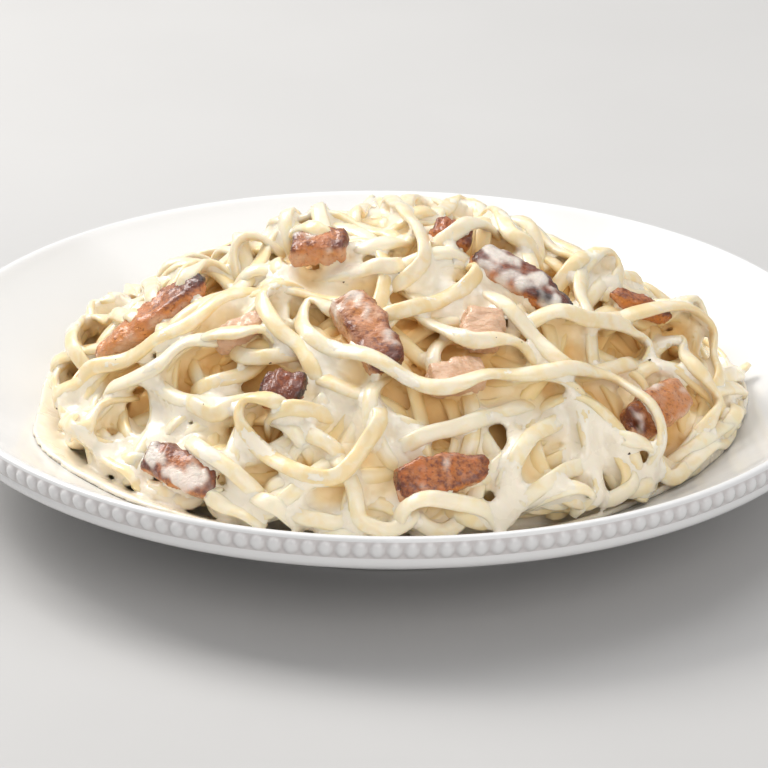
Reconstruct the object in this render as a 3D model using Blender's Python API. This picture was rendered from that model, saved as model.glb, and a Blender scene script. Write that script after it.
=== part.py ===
"""Fettuccine alfredo with grilled chicken, heaped in a deep porcelain plate with a beaded edge.

Metres, +Z up. The origin is on the surface that the plate stands on, under the plate's centre.
The side that the diner sees is towards -Y.
"""

import math
import random

import bmesh
import bpy
import numpy as np
from mathutils import Matrix, Vector, noise

MM = 0.001

# Plate
RIM_RADIUS = 140 * MM
PLATE_HEIGHT = 38 * MM
FOOT_RADIUS = 79.5 * MM
ROUND_STEPS = 48
FOOD_STEPS = 30
BEADS = 180
BEAD_RELIEF = 1.3 * MM
# Radius and height of the eating surface, from the centre out to the lip.
WELL_PROFILE = [
    (60 * MM, 7.8 * MM),
    (78 * MM, 9.5 * MM),
    (95 * MM, 14.5 * MM),
    (112 * MM, 22.5 * MM),
    (127 * MM, 31.0 * MM),
    (RIM_RADIUS - 4.5 * MM, PLATE_HEIGHT - 1.5 * MM),
    (RIM_RADIUS - 2.2 * MM, PLATE_HEIGHT),
    (RIM_RADIUS - 0.8 * MM, PLATE_HEIGHT),
]
WELL_CENTRE_HEIGHT = 7.5 * MM
BAND_TOP = (RIM_RADIUS, PLATE_HEIGHT - 1.2 * MM)
BAND_BOTTOM = (RIM_RADIUS - 0.4 * MM, PLATE_HEIGHT - 6.2 * MM)
# The same for the outside, from under the beads to the foot ring and in to the middle.
UNDER_PROFILE = [
    (RIM_RADIUS - 0.8 * MM, PLATE_HEIGHT - 8.8 * MM),
    (RIM_RADIUS - 2.8 * MM, PLATE_HEIGHT - 10.8 * MM),
    (128 * MM, 23.5 * MM),
    (112 * MM, 16.0 * MM),
    (95 * MM, 8.5 * MM),
    (FOOT_RADIUS + 4.5 * MM, 5.0 * MM),
    (FOOT_RADIUS + 1.5 * MM, 3.5 * MM),
    (FOOT_RADIUS, 0.0),
    (FOOT_RADIUS - 4 * MM, 0.0),
    (FOOT_RADIUS - 6 * MM, 3.0 * MM),
]
UNDER_CENTRE_HEIGHT = 3.0 * MM

# Food
GAP = 0.3 * MM
POOL_DEPTH = 1.6 * MM
POOL_RADIUS = 106 * MM
POOL_BEVEL = 1.2 * MM
MOUND_RADIUS = 107 * MM
MOUND_TOP = 84 * MM
MOUND_EDGE = 15 * MM
MOUND_CENTRE = (3 * MM, 3 * MM)
# The heap's far side is lower than a round mound: by how much, how far back, and at most what
# share of its height over the plate.
FAR_DIP = 10 * MM
FAR_REACH = 100 * MM
FAR_DIP_SHARE = 0.33
FAR_BASE = 20 * MM
# No point that the photograph shows lies further back than this.
LAST_SEEN = 55 * MM
# The core under the noodles: how far its top lies under the heap's mean surface, and its rings.
CORE_DEPTH = 3.5 * MM
CORE_RADIUS = 97 * MM
CORE_EDGE = 2 * MM
CORE_RINGS = (0.985, 0.94, 0.86, 0.75, 0.63, 0.5, 0.37, 0.24, 0.12)
# How far the noodles that show stand over the mean surface.
CREST_HEIGHT = 3 * MM
SEED = 7

# Noodles. The section is in half widths and half thicknesses.
NOODLE_WIDTH = 4.6 * MM
NOODLE_THICKNESS = 2.2 * MM
NOODLE_SECTION = [(1, 1), (-1, 1), (-1, -1), (1, -1)]
NOODLE_REACH = 2.9 * MM
PRESSED_IN = 0.3 * MM
TUCKED_IN = 5 * MM
SAG = 0.06 * MM
STANDING_BEND = 9 * MM
STANDING_SHARE = 0.75
LAY_STEP = 3 * MM
LONGEST_FACET = 16 * MM
LARGEST_TURN = math.radians(36)

# How the photograph was taken: its frame, and the camera's distance, height and tilt.
FRAME_PIXELS = 768
FOCAL_PIXELS = 4886
CAMERA_DISTANCE = 1.5
CAMERA_ELEVATION = math.radians(22.7)
CAMERA_ROLL = math.radians(0.6)
CAMERA_AIM = Vector((-1 * MM, 0, 26.4 * MM))

# Noodles that the photograph shows, undermost first: points along each in its pixels.
SEEN_NOODLES = [
    [(163, 289), (184, 278), (212, 270), (240, 270)],
    [(229, 275), (235, 253), (262, 243), (285, 250)],
    [(73, 354), (80, 338), (92, 322), (112, 317)],
    [(91, 330), (97, 307), (114, 293), (139, 293), (154, 306)],
    [(82, 370), (85, 343), (98, 325), (122, 319), (142, 322)],
    [(396, 216), (413, 205), (440, 203), (456, 212)],
    [(582, 266), (594, 256), (606, 263), (614, 280), (608, 294)],
    [(667, 312), (688, 303), (705, 308), (707, 321), (692, 332)],
    [(712, 384), (735, 379), (757, 381)],
    [(72, 466), (101, 474), (127, 480), (150, 492)],
    [(70, 452), (98, 448), (124, 447)],
    [(272, 250), (278, 270), (297, 281)],
    [(290, 229), (318, 228), (347, 234)],
    [(352, 246), (380, 247), (404, 241), (418, 232)],
    [(348, 270), (372, 274), (396, 266), (415, 250)],
    [(131, 391), (111, 404), (101, 422), (90, 437), (74, 444), (66, 430), (66, 412)],
    [(480, 294), (505, 315), (530, 350), (560, 366), (590, 380)],
    [(565, 406), (551, 428), (528, 440), (513, 465), (500, 490)],
    [(243, 504), (257, 499), (277, 509), (297, 520)],
    [(219, 482), (212, 498), (218, 513), (238, 524), (266, 528)],
    [(520, 508), (543, 496), (570, 491), (588, 500), (573, 515)],
    [(500, 528), (510, 512), (532, 493), (560, 475), (598, 462)],
    [(397, 526), (404, 510), (426, 500), (458, 504), (486, 514), (503, 530)],
    [(671, 466), (694, 448), (716, 432), (731, 436), (731, 449), (704, 463), (676, 472)],
    [(708, 394), (725, 393), (734, 408), (736, 424), (722, 434)],
    [(608, 321), (640, 318), (672, 325), (700, 345), (714, 375), (720, 395)],
    [(643, 354), (664, 354), (684, 366), (701, 388), (707, 412), (700, 438)],
    [(522, 321), (545, 321), (580, 331), (615, 341), (641, 352), (653, 368)],
    [(602, 421), (622, 438), (641, 458), (655, 484)],
    [(144, 376), (165, 364), (200, 352), (240, 338), (270, 337), (290, 352)],
    [(91, 384), (122, 378), (150, 360), (182, 342), (212, 322)],
    [(73, 376), (106, 364), (150, 344), (190, 322), (222, 298), (262, 276)],
    [(178, 395), (197, 409), (219, 420), (234, 406), (258, 390)],
    [(180, 435), (205, 452), (232, 470), (258, 496)],
    [(385, 446), (408, 446), (434, 438), (470, 424), (512, 412), (545, 396)],
    [(385, 408), (393, 423), (408, 429), (430, 430)],
    [(293, 424), (314, 438), (334, 449), (343, 462)],
    [(266, 436), (268, 421), (284, 412), (303, 413), (322, 413), (338, 409)],
    [(305, 281), (276, 291), (267, 312), (280, 335), (303, 352), (321, 392)],
    [(380, 315), (408, 323), (436, 338), (470, 350), (512, 355), (545, 362)],
    [(470, 258), (477, 273), (466, 293), (440, 309), (408, 316), (374, 306)],
    [(425, 247), (452, 238), (480, 231), (505, 228)],
    [(352, 222), (372, 211), (398, 214), (418, 234), (424, 260), (414, 281), (392, 290)],
    [(434, 216), (454, 202), (478, 206), (502, 226), (522, 246), (548, 268)],
    [(297, 408), (270, 400), (248, 407), (246, 430), (268, 457), (305, 475), (340, 477),
     (366, 452), (381, 420), (372, 392)],
    [(336, 303), (313, 309), (303, 327), (317, 346), (354, 361), (403, 389), (445, 396),
     (490, 385), (545, 376), (600, 381), (638, 400), (656, 433), (650, 474)],
]
# Noodles for the far side and the gaps, laid by rule: how many, and how long.
RULED_NOODLES = 15
RULED_LENGTH = (60 * MM, 95 * MM)
RULED_RINGS = (0.42, 0.80, 0.60, 0.90)
RULED_CURL = (28 * MM, 70 * MM)

# Chicken pieces: both ends in the photograph's pixels, then width, thickness and how deep it sits.
SEEN_CHICKEN = {
    "left_strip": ((101, 357), (206, 286), 12.0, 7.0, -0.8),
    "left_pale": ((214, 338), (262, 318), 8.0, 7.0, 1.5),
    "left_small": ((262, 386), (304, 390), 11.0, 8.0, 0.5),
    "front_left": ((146, 457), (214, 485), 11.0, 7.0, 0.0),
    "front": ((399, 490), (488, 466), 12.5, 7.5, 0.2),
    "centre": ((345, 300), (389, 370), 12.5, 8.0, -0.6),
    "top_left": ((292, 250), (346, 244), 11.0, 8.0, 0.2),
    "top_right": ((433, 228), (470, 240), 8.5, 8.0, 1.2),
    "charred": ((474, 258), (568, 314), 12.5, 7.5, -0.8),
    "pale_upper": ((482, 308), (482, 348), 12.5, 7.5, 0.8),
    "pale_lower": ((430, 378), (484, 372), 11.0, 7.0, 0.8),
    "right_strip": ((612, 292), (670, 318), 6.0, 6.0, 0.2),
    "right_chunk": ((632, 424), (682, 396), 12.0, 8.5, 0.6),
}
# The far side's chicken: bearing from the mound's centre in degrees, distance out and length.
FAR_CHICKEN = {
    "far_left": (128, 66 * MM, 34 * MM),
    "far_middle": (94, 86 * MM, 30 * MM),
    "far_right": (52, 64 * MM, 36 * MM),
    "far_low": (66, 93 * MM, 28 * MM),
}
# Pieces that taper: the width at the first end as a share of the greatest, the place of the
# greatest as a share of the length, and the width at the last end.
CHICKEN_TAPERS = {
    "left_strip": (0.3, 0.64, 0.62),
    "left_small": (0.75, 0.4, 0.85),
    "front_left": (0.6, 0.45, 0.7),
    "front": (0.8, 0.32, 0.32),
    "charred": (0.75, 0.42, 0.42),
    "right_strip": (0.35, 0.5, 0.5),
}
BLUNT = (0.82, 0.5, 0.82)
CHICKEN_RINGS = 5
CHICKEN_SIDES = 8

FIELD_CELL = 1.0 * MM
FIELD_HALF = 130 * MM
FIELD_CELLS = int(2 * FIELD_HALF / FIELD_CELL) + 1


def material(name, colour, roughness):
    made = bpy.data.materials.new(name)
    made.use_nodes = True
    shader = made.node_tree.nodes["Principled BSDF"]
    shader.inputs["Base Color"].default_value = (*colour, 1)
    shader.inputs["Roughness"].default_value = roughness
    shader.inputs["Metallic"].default_value = 0
    return made


def new_object(name, mesh, finish, smooth_degrees=40):
    made = bpy.data.objects.new(name, mesh)
    bpy.context.scene.collection.objects.link(made)
    mesh.materials.append(finish)
    mesh.shade_smooth()
    mesh.set_sharp_from_angle(angle=math.radians(smooth_degrees))
    return made


def mesh_from(bm, name):
    bmesh.ops.recalc_face_normals(bm, faces=bm.faces)
    mesh = bpy.data.meshes.new(name)
    bm.to_mesh(mesh)
    bm.free()
    return mesh


def ring(bm, radius, height, steps):
    """Vertices round the Z axis. Radius and height are numbers, or functions of the bearing."""
    made = []
    for i in range(steps):
        bearing = 2 * math.pi * i / steps
        r = radius(bearing) if callable(radius) else radius
        z = height(r, bearing) if callable(height) else height
        made.append(bm.verts.new((r * math.cos(bearing), r * math.sin(bearing), z)))
    return made


def bridge(bm, lower, upper):
    """Joins two rings, whose numbers of vertices may differ, with triangles."""
    a, b = len(lower), len(upper)
    i = j = 0
    while i < a or j < b:
        if j >= b or (i < a and (i + 0.5) / a <= (j + 0.5) / b):
            bm.faces.new((lower[i % a], lower[(i + 1) % a], upper[j % b]))
            i += 1
        else:
            bm.faces.new((lower[i % a], upper[(j + 1) % b], upper[j % b]))
            j += 1


def cap(bm, rim, centre):
    for i, vertex in enumerate(rim):
        bm.faces.new((vertex, rim[(i + 1) % len(rim)], centre))


def well_height(radius):
    """Height of the plate's eating surface, which is made of straight runs between its rings."""
    radii = [0.0] + [r for r, _ in WELL_PROFILE]
    heights = [WELL_CENTRE_HEIGHT] + [z for _, z in WELL_PROFILE]
    return np.interp(radius, radii, heights)


def build_plate(finish):
    """A turned plate whose side carries a row of beads, each a low pyramid on the band."""
    bm = bmesh.new()
    inside = [ring(bm, r, z, ROUND_STEPS) for r, z in WELL_PROFILE]
    band_top = ring(bm, *BAND_TOP, BEADS)
    band_bottom = ring(bm, *BAND_BOTTOM, BEADS)
    outside = [ring(bm, r, z, ROUND_STEPS) for r, z in UNDER_PROFILE]
    cap(bm, inside[0], bm.verts.new((0, 0, WELL_CENTRE_HEIGHT)))
    for lower, upper in zip(inside, inside[1:]):
        bridge(bm, lower, upper)
    bridge(bm, inside[-1], band_top)
    crest = (BAND_TOP[0] + BAND_BOTTOM[0]) / 2 + BEAD_RELIEF
    middle = (BAND_TOP[1] + BAND_BOTTOM[1]) / 2
    for i in range(BEADS):
        bearing = 2 * math.pi * (i + 0.5) / BEADS
        tip = bm.verts.new((crest * math.cos(bearing), crest * math.sin(bearing), middle))
        after = (i + 1) % BEADS
        corners = (band_top[i], band_top[after], band_bottom[after], band_bottom[i])
        cap(bm, corners, tip)
    bridge(bm, band_bottom, outside[0])
    for lower, upper in zip(outside, outside[1:]):
        bridge(bm, lower, upper)
    cap(bm, outside[-1], bm.verts.new((0, 0, UNDER_CENTRE_HEIGHT)))
    return new_object("plate", mesh_from(bm, "plate"), finish, 28)


def pool_edge(bearing):
    """The cream's outline: a little further out on the left and in front, where it has run."""
    waves = 3.5 * math.sin(2 * bearing + 0.7) + 2.0 * math.sin(5 * bearing + 2.1)
    return POOL_RADIUS + waves * MM


def build_pool(finish):
    """The thin layer of cream between the plate and the pasta, seen as a rim round the heap."""
    bm = bmesh.new()
    radii = [r for r, _ in WELL_PROFILE if r < POOL_RADIUS - 8 * MM]
    under = [ring(bm, r, lambda r, _: well_height(r) + GAP, FOOD_STEPS) for r in radii]
    under.append(ring(bm, pool_edge, lambda r, _: well_height(r) + GAP, FOOD_STEPS))
    over = [ring(bm, lambda b: pool_edge(b) - POOL_BEVEL, pool_surface, FOOD_STEPS)]
    over += [ring(bm, r, pool_surface, FOOD_STEPS) for r in reversed(radii)]
    cap(bm, under[0], bm.verts.new((0, 0, WELL_CENTRE_HEIGHT + GAP)))
    rings = under + over
    for lower, upper in zip(rings, rings[1:]):
        bridge(bm, lower, upper)
    cap(bm, over[-1], bm.verts.new((0, 0, pool_surface(0.0, 0.0))))
    return new_object("cream_pool", mesh_from(bm, "cream_pool"), finish)


def pool_surface(radius, _bearing):
    return float(well_height(radius)) + GAP + POOL_DEPTH


def mound_height(x, y):
    """Height of the heap's mean surface over a point of the plan, or of the plate beyond it."""
    x, y = np.asarray(x, float), np.asarray(y, float)
    away = np.hypot(x - MOUND_CENTRE[0], y - MOUND_CENTRE[1])
    share = np.clip(away / MOUND_RADIUS, 0, 1)
    dome = MOUND_EDGE + (MOUND_TOP - MOUND_EDGE) * (1 - share**1.5) ** 0.6
    behind = np.clip((y - MOUND_CENTRE[1]) / FAR_REACH, 0, 1)
    most = FAR_DIP_SHARE * np.maximum(dome - FAR_BASE, 0)
    dome = dome - np.minimum(FAR_DIP * np.sin(math.pi * behind) ** 0.8, most)
    lumps = 1.6 * np.sin(x / (17 * MM) + 1.0) * np.cos(y / (19 * MM) - 0.6)
    lumps += 1.0 * np.sin((x - y) / (11 * MM)) * np.cos((x + y) / (13 * MM) + 0.4)
    return np.maximum(dome + lumps * MM * (1 - share), well_height(np.hypot(x, y)))


def mound_normal(x, y):
    """The heap's outward direction, smoothed over a few millimetres and held to 50 degrees."""
    step = 6 * MM
    slope_x = (mound_height(x + step, y) - mound_height(x - step, y)) / (2 * step)
    slope_y = (mound_height(x, y + step) - mound_height(x, y - step)) / (2 * step)
    steepness = np.hypot(slope_x, slope_y)
    eased = np.minimum(steepness, 1.2) / np.maximum(steepness, 1e-9)
    normal = np.stack([-slope_x * eased, -slope_y * eased, np.ones_like(steepness)], -1)
    return normal / np.linalg.norm(normal, axis=-1, keepdims=True)


def sight_line(pixel):
    """The camera's place, and the direction in which it sees a pixel of the photograph."""
    back = Vector((0, -math.cos(CAMERA_ELEVATION), math.sin(CAMERA_ELEVATION)))
    right, up = Vector((1, 0, 0)), Vector((0, math.sin(CAMERA_ELEVATION), math.cos(CAMERA_ELEVATION)))
    across = (pixel[0] - FRAME_PIXELS / 2) / FOCAL_PIXELS
    above = (FRAME_PIXELS / 2 - pixel[1]) / FOCAL_PIXELS
    turn = Matrix.Rotation(CAMERA_ROLL, 2)
    across, above = turn @ Vector((across, above))
    return CAMERA_AIM + back * CAMERA_DISTANCE, (-back + right * across + up * above)


def on_mound(pixel):
    """The point of the heap that shows at a pixel of the photograph, with crests over its mean surface."""
    eye, towards = sight_line(pixel)
    along = np.linspace(CAMERA_DISTANCE - 0.16, CAMERA_DISTANCE + 0.16, 1601)
    points = np.array(eye) + along[:, None] * np.array(towards)
    points = points[points[:, 1] < LAST_SEEN]
    away = np.hypot(points[:, 0] - MOUND_CENTRE[0], points[:, 1] - MOUND_CENTRE[1])
    crest = CREST_HEIGHT * np.clip((MOUND_RADIUS - away) / (6 * MM), 0, 1)
    above = points[:, 2] - mound_height(points[:, 0], points[:, 1]) - crest
    below = np.nonzero(above < 0)[0]
    nearest = below[0] if len(below) else int(np.argmin(above))
    return points[nearest]


def smooth_path(points, spacing):
    """A Catmull-Rom curve through points, read at an even spacing."""
    points = np.asarray(points, float)
    padded = np.vstack([2 * points[0] - points[1], points, 2 * points[-1] - points[-2]])
    share = np.linspace(0, 1, 16, endpoint=False)[:, None]
    curve = []
    for p0, p1, p2, p3 in zip(padded, padded[1:], padded[2:], padded[3:]):
        curve.append(0.5 * (2 * p1 + (p2 - p0) * share + (2 * p0 - 5 * p1 + 4 * p2 - p3) * share**2
                            + (3 * p1 - p0 - 3 * p2 + p3) * share**3))
    curve = np.vstack([*curve, points[-1:]])
    run = np.concatenate([[0], np.cumsum(np.linalg.norm(np.diff(curve, axis=0), axis=1))])
    steps = max(int(round(run[-1] / spacing)), 4)
    at = np.linspace(0, run[-1], steps + 1)
    return np.stack([np.interp(at, run, curve[:, k]) for k in range(curve.shape[1])], -1)


def ruled_plans():
    """Noodles for the far half of the heap: curls in turn from side to side and from low to high."""
    rng = random.Random(SEED)
    for k in range(RULED_NOODLES):
        bearing = math.pi * (1.2 * (k + 0.5) / RULED_NOODLES - 0.1)
        away = MOUND_RADIUS * RULED_RINGS[k % len(RULED_RINGS)]
        x = MOUND_CENTRE[0] + away * math.cos(bearing)
        y = MOUND_CENTRE[1] + away * math.sin(bearing)
        side = 1 if k % 2 else -1
        length = rng.uniform(*RULED_LENGTH)
        heading = bearing + side * (math.pi / 2 + rng.uniform(-0.7, 0.4))
        first_bend, last_bend = (side / (rng.uniform(*RULED_CURL)) for _ in range(2))
        travelled = np.arange(-length / 2, length / 2, LAY_STEP)
        bend = np.interp(travelled, (-length / 2, length / 2), (first_bend, last_bend))
        ways = heading + bend * travelled
        track = np.column_stack([np.cos(ways), np.sin(ways)]).cumsum(axis=0) * LAY_STEP
        track += np.array([x, y]) - track[len(track) // 2]
        yield smooth_path(track, LAY_STEP)


class Pile:
    """The top of what has been laid so far, as heights over a square grid of the plan."""

    def __init__(self):
        axis = np.linspace(-FIELD_HALF, FIELD_HALF, FIELD_CELLS)
        self.x, self.y = np.meshgrid(axis, axis, indexing="ij")
        reach = np.arange(-3, 4)
        self.near = [(i, j) for i in reach for j in reach
                     if math.hypot(i, j) * FIELD_CELL <= NOODLE_REACH]
        across = np.hypot(self.x, self.y)
        pool = well_height(across) + np.where(across < POOL_RADIUS + 5 * MM, GAP + POOL_DEPTH, 0)
        self.floor = pool + 3 * GAP
        self.top = np.maximum(self.floor, mound_height(self.x, self.y) - CORE_DEPTH)

    def cells(self, points):
        at = np.clip(np.round((points[:, :2] + FIELD_HALF) / FIELD_CELL).astype(int), 4, FIELD_CELLS - 5)
        return at[:, 0], at[:, 1]

    def under(self, points, field):
        i, j = self.cells(points)
        return np.max([field[i + di, j + dj] for di, dj in self.near], axis=0)

    def lay(self, plan, half_height):
        """Rests a noodle on the pile along plan, its ends tucked in, and returns its centreline."""
        rest = self.under(plan, self.top) + half_height - PRESSED_IN
        floor = self.under(plan, self.floor) + half_height
        z = rest.copy()
        for _ in range(40):
            z[1:-1] = np.maximum(rest[1:-1], (z[:-2] + z[2:]) / 2 - SAG)
        steps = np.arange(len(z))
        from_end = np.minimum(steps, steps[::-1]) / 4
        z = np.maximum(z - TUCKED_IN * np.clip(1 - from_end, 0, 1) ** 1.5, floor)
        line = np.column_stack([plan, z])
        i, j = self.cells(line)
        for di, dj in self.near:
            np.maximum.at(self.top, (i + di, j + dj), z + half_height)
        return line


def needed_points(line):
    """Which points of a line its facets need: more of them where it bends."""
    steps = np.diff(line, axis=0)
    lengths = np.linalg.norm(steps, axis=1)
    ahead = steps / lengths[:, None]
    turns = np.arccos(np.clip((ahead[1:] * ahead[:-1]).sum(axis=1), -1, 1))
    cost = lengths / LONGEST_FACET
    cost[1:] += turns / LARGEST_TURN
    cost = np.concatenate([[0], np.cumsum(cost)])
    wanted = np.linspace(0, cost[-1], max(math.ceil(cost[-1]), 3) + 1)
    return np.unique(np.abs(cost[:, None] - wanted).argmin(axis=0))


def noodle_mesh(line, twist):
    """A flat ribbon along a centreline. Twist turns it from flat, 0, to standing on its edge, 1."""
    ahead = np.gradient(line, axis=0)
    ahead /= np.linalg.norm(ahead, axis=1, keepdims=True)
    out = mound_normal(line[:, 0], line[:, 1])
    side = np.cross(out, ahead)
    side /= np.linalg.norm(side, axis=1, keepdims=True)
    out = np.cross(ahead, side)
    turn = (twist * math.pi / 2)[:, None]
    wide = side * np.cos(turn) + out * np.sin(turn)
    thin = out * np.cos(turn) - side * np.sin(turn)
    bend = np.abs((np.gradient(ahead, axis=0) * wide).sum(axis=1))
    bend /= np.linalg.norm(np.gradient(line, axis=0), axis=1)
    half_width = np.minimum(NOODLE_WIDTH / 2, 0.7 / np.maximum(bend, 1))
    wide *= half_width[:, None]
    kept = needed_points(line)
    line, wide, thin = line[kept], wide[kept], thin[kept]
    bm = bmesh.new()
    rows = []
    sides = len(NOODLE_SECTION)
    for point, w, t in zip(line, wide, thin):
        rows.append([bm.verts.new(point + w * a + t * b * NOODLE_THICKNESS / 2)
                     for a, b in NOODLE_SECTION])
    for lower, upper in zip(rows, rows[1:]):
        for i in range(sides):
            bm.faces.new((lower[i], lower[(i + 1) % sides], upper[(i + 1) % sides], upper[i]))
    bm.faces.new(rows[0])
    bm.faces.new(rows[-1])
    bmesh.ops.triangulate(bm, faces=bm.faces)
    return mesh_from(bm, "noodle")


def turning(plan):
    """How sharply a plan path bends, from 0 for straight to 1 for a bend tighter than STANDING_BEND."""
    heading = np.unwrap(np.arctan2(*np.gradient(plan, axis=0).T[::-1]))
    step = np.maximum(np.linalg.norm(np.gradient(plan, axis=0), axis=1), 1e-6)
    bend = np.abs(np.gradient(heading)) / step * STANDING_BEND
    kernel = np.ones(5) / 5
    return np.clip(np.convolve(np.pad(bend, 2, mode="edge"), kernel, mode="valid"), 0, 1)


def lay_noodles():
    """Every noodle's mesh. The ruled ones come first, as the photograph's noodles lie on top."""
    pile = Pile()
    plans = list(ruled_plans())
    plans += [smooth_path([on_mound(p)[:2] for p in points], LAY_STEP) for points in SEEN_NOODLES]
    meshes = []
    for plan in plans:
        twist = STANDING_SHARE * turning(plan)
        half_height = (NOODLE_THICKNESS + (NOODLE_WIDTH - NOODLE_THICKNESS) * float(twist.mean())) / 2
        line = pile.lay(plan, half_height)
        meshes.append(noodle_mesh(line, twist))
    return meshes


def core_mesh():
    """The heap inside its noodles: a lumpy dome whose underside follows the cream pool."""
    def base(r, bearing):
        return pool_surface(r, bearing) + GAP

    def dome(r, bearing):
        top = mound_height(r * math.cos(bearing), r * math.sin(bearing)) - CORE_DEPTH
        return max(float(top), base(r, bearing) + CORE_EDGE)

    bm = bmesh.new()
    radii = [r for r, _ in WELL_PROFILE if r < CORE_RADIUS - 4 * MM] + [CORE_RADIUS]
    rings = [ring(bm, r, base, FOOD_STEPS) for r in radii]
    rings += [ring(bm, CORE_RADIUS * share, dome, FOOD_STEPS) for share in CORE_RINGS]
    cap(bm, rings[0], bm.verts.new((0, 0, base(0, 0))))
    for lower, upper in zip(rings, rings[1:]):
        bridge(bm, lower, upper)
    cap(bm, rings[-1], bm.verts.new((0, 0, dome(0, 0))))
    return mesh_from(bm, "pasta")


def tapered(name, share):
    """A piece's width at a share of its length, as a share of its greatest width."""
    first, widest, last = CHICKEN_TAPERS.get(name, BLUNT)
    end, inwards = (first, share / widest) if share < widest else (last, (1 - share) / (1 - widest))
    return end + (1 - end) * math.sin(math.pi / 2 * inwards) ** 0.8


def chicken_mesh(name, length, width, thickness, swell=0.0):
    """A grilled strip or chunk along X: a rounded block with uneven sides, tapering to its ends."""
    key = sum(ord(letter) for letter in name)
    bm = bmesh.new()
    rings = []
    for i in range(CHICKEN_RINGS):
        share = i / (CHICKEN_RINGS - 1)
        taper = tapered(name, share)
        x = (share - 0.5) * length
        sway = 0.07 * width * math.sin(3.3 * share + key)
        made = []
        for j in range(CHICKEN_SIDES):
            angle = 2 * math.pi * (j + 0.5) / CHICKEN_SIDES
            c, s = math.cos(angle), math.sin(angle)
            square = (abs(c) ** 3 + abs(s) ** 3) ** (-1 / 3)
            rough = 1 + 0.16 * noise.noise(Vector((1.7 * i, c * 1.3 + key, s * 1.3)))
            made.append(bm.verts.new((x + 0.05 * width * s, sway + c * square * rough * taper * width / 2,
                                      s * square * rough * taper * thickness / 2)))
        rings.append(made)
    for lower, upper in zip(rings, rings[1:]):
        bridge(bm, lower, upper)
    for end, sign in ((rings[0], -1), (rings[-1], 1)):
        centre = sum((v.co for v in end), Vector()) / len(end)
        cap(bm, end, bm.verts.new(centre + Vector((sign * 0.09 * width, 0, 0))))
    bmesh.ops.recalc_face_normals(bm, faces=bm.faces)
    bm.normal_update()
    if swell:
        for vertex in bm.verts:
            vertex.co += vertex.normal * swell
    return mesh_from(bm, name)


def frame_between(start, end, sink):
    """Where a piece lies: its middle on the heap, its X from start to end and its Z outwards."""
    start, end = Vector(start), Vector(end)
    middle = (start + end) / 2
    out = Vector(mound_normal(middle.x, middle.y))
    along = (end - start).normalized()
    across = out.cross(along).normalized()
    out = along.cross(across)
    place = Matrix((along, across, out)).transposed().to_4x4()
    place.translation = middle - out * sink
    return place, (end - start).length


def chicken_places():
    """Name, place, length, width and thickness of every chicken piece."""
    for name, (first, last, width, thickness, sink) in SEEN_CHICKEN.items():
        place, length = frame_between(on_mound(first), on_mound(last), sink * MM)
        yield name, place, length, width * MM, thickness * MM
    for name, (bearing, away, length) in FAR_CHICKEN.items():
        a = math.radians(bearing)
        x, y = MOUND_CENTRE[0] + away * math.cos(a), MOUND_CENTRE[1] + away * math.sin(a)
        slant = a + math.radians(60)
        half = Vector((math.cos(slant), math.sin(slant))) * length / 2
        ends = [(x + k * half.x, y + k * half.y) for k in (-1, 1)]
        ends = [(*p, float(mound_height(*p))) for p in ends]
        place, run = frame_between(*ends, 0.5 * MM)
        yield name, place, run, 11 * MM, 8 * MM


def applied(target, kind, tools):
    """Joins a collection to the target or cuts it away, and removes the collection's objects.

    The solver is MANIFOLD, as EXACT leaves noodles that touch each other along an edge.
    """
    change = target.modifiers.new(kind.lower(), "BOOLEAN")
    change.operation = kind
    change.operand_type = "COLLECTION"
    change.collection = tools
    change.solver = "MANIFOLD"
    graph = bpy.context.evaluated_depsgraph_get()
    mesh = bpy.data.meshes.new_from_object(target.evaluated_get(graph))
    target.modifiers.clear()
    target.data = mesh
    for tool in list(tools.objects):
        bpy.data.objects.remove(tool)
    bpy.data.collections.remove(tools)


def collected(name, meshes):
    """Meshes, each with a matrix, as objects in one new collection."""
    made = bpy.data.collections.new(name)
    bpy.context.scene.collection.children.link(made)
    for mesh, place in meshes:
        tool = bpy.data.objects.new(mesh.name, mesh)
        tool.matrix_world = place
        made.objects.link(tool)
    return made


def keep_largest(target):
    """Drops loose scraps and fills sealed hollows, by keeping the shell with the most faces."""
    bm = bmesh.new()
    bm.from_mesh(target.data)
    bmesh.ops.triangulate(bm, faces=bm.faces)
    unseen = set(bm.faces)
    shells = []
    while unseen:
        reached = [unseen.pop()]
        shell = list(reached)
        while reached:
            for edge in reached.pop().edges:
                joined = edge.link_faces if len(edge.link_faces) == 2 else ()
                for face in unseen.intersection(joined):
                    unseen.discard(face)
                    reached.append(face)
                    shell.append(face)
        shells.append(shell)
    shells.sort(key=len)
    loose = [face for shell in shells[:-1] for face in shell]
    bmesh.ops.delete(bm, geom=loose, context="FACES")
    bm.to_mesh(target.data)
    bm.free()


def build_pasta(finish, places):
    """The heap: its core and noodles as one solid, with a pocket for each chicken piece."""
    heap = new_object("pasta", core_mesh(), finish, 60)
    applied(heap, "UNION", collected("noodles", [(m, Matrix.Identity(4)) for m in lay_noodles()]))
    pockets = [(chicken_mesh(name, length, width, thickness, swell=1.5 * GAP), place)
               for name, place, length, width, thickness in places]
    applied(heap, "DIFFERENCE", collected("pockets", pockets))
    keep_largest(heap)
    heap.data.shade_smooth()
    heap.data.set_sharp_from_angle(angle=math.radians(50))
    return heap


def build_chicken(finish, places):
    for name, place, length, width, thickness in places:
        piece = new_object(f"chicken_{name}", chicken_mesh(name, length, width, thickness), finish, 50)
        piece.matrix_world = place


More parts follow.
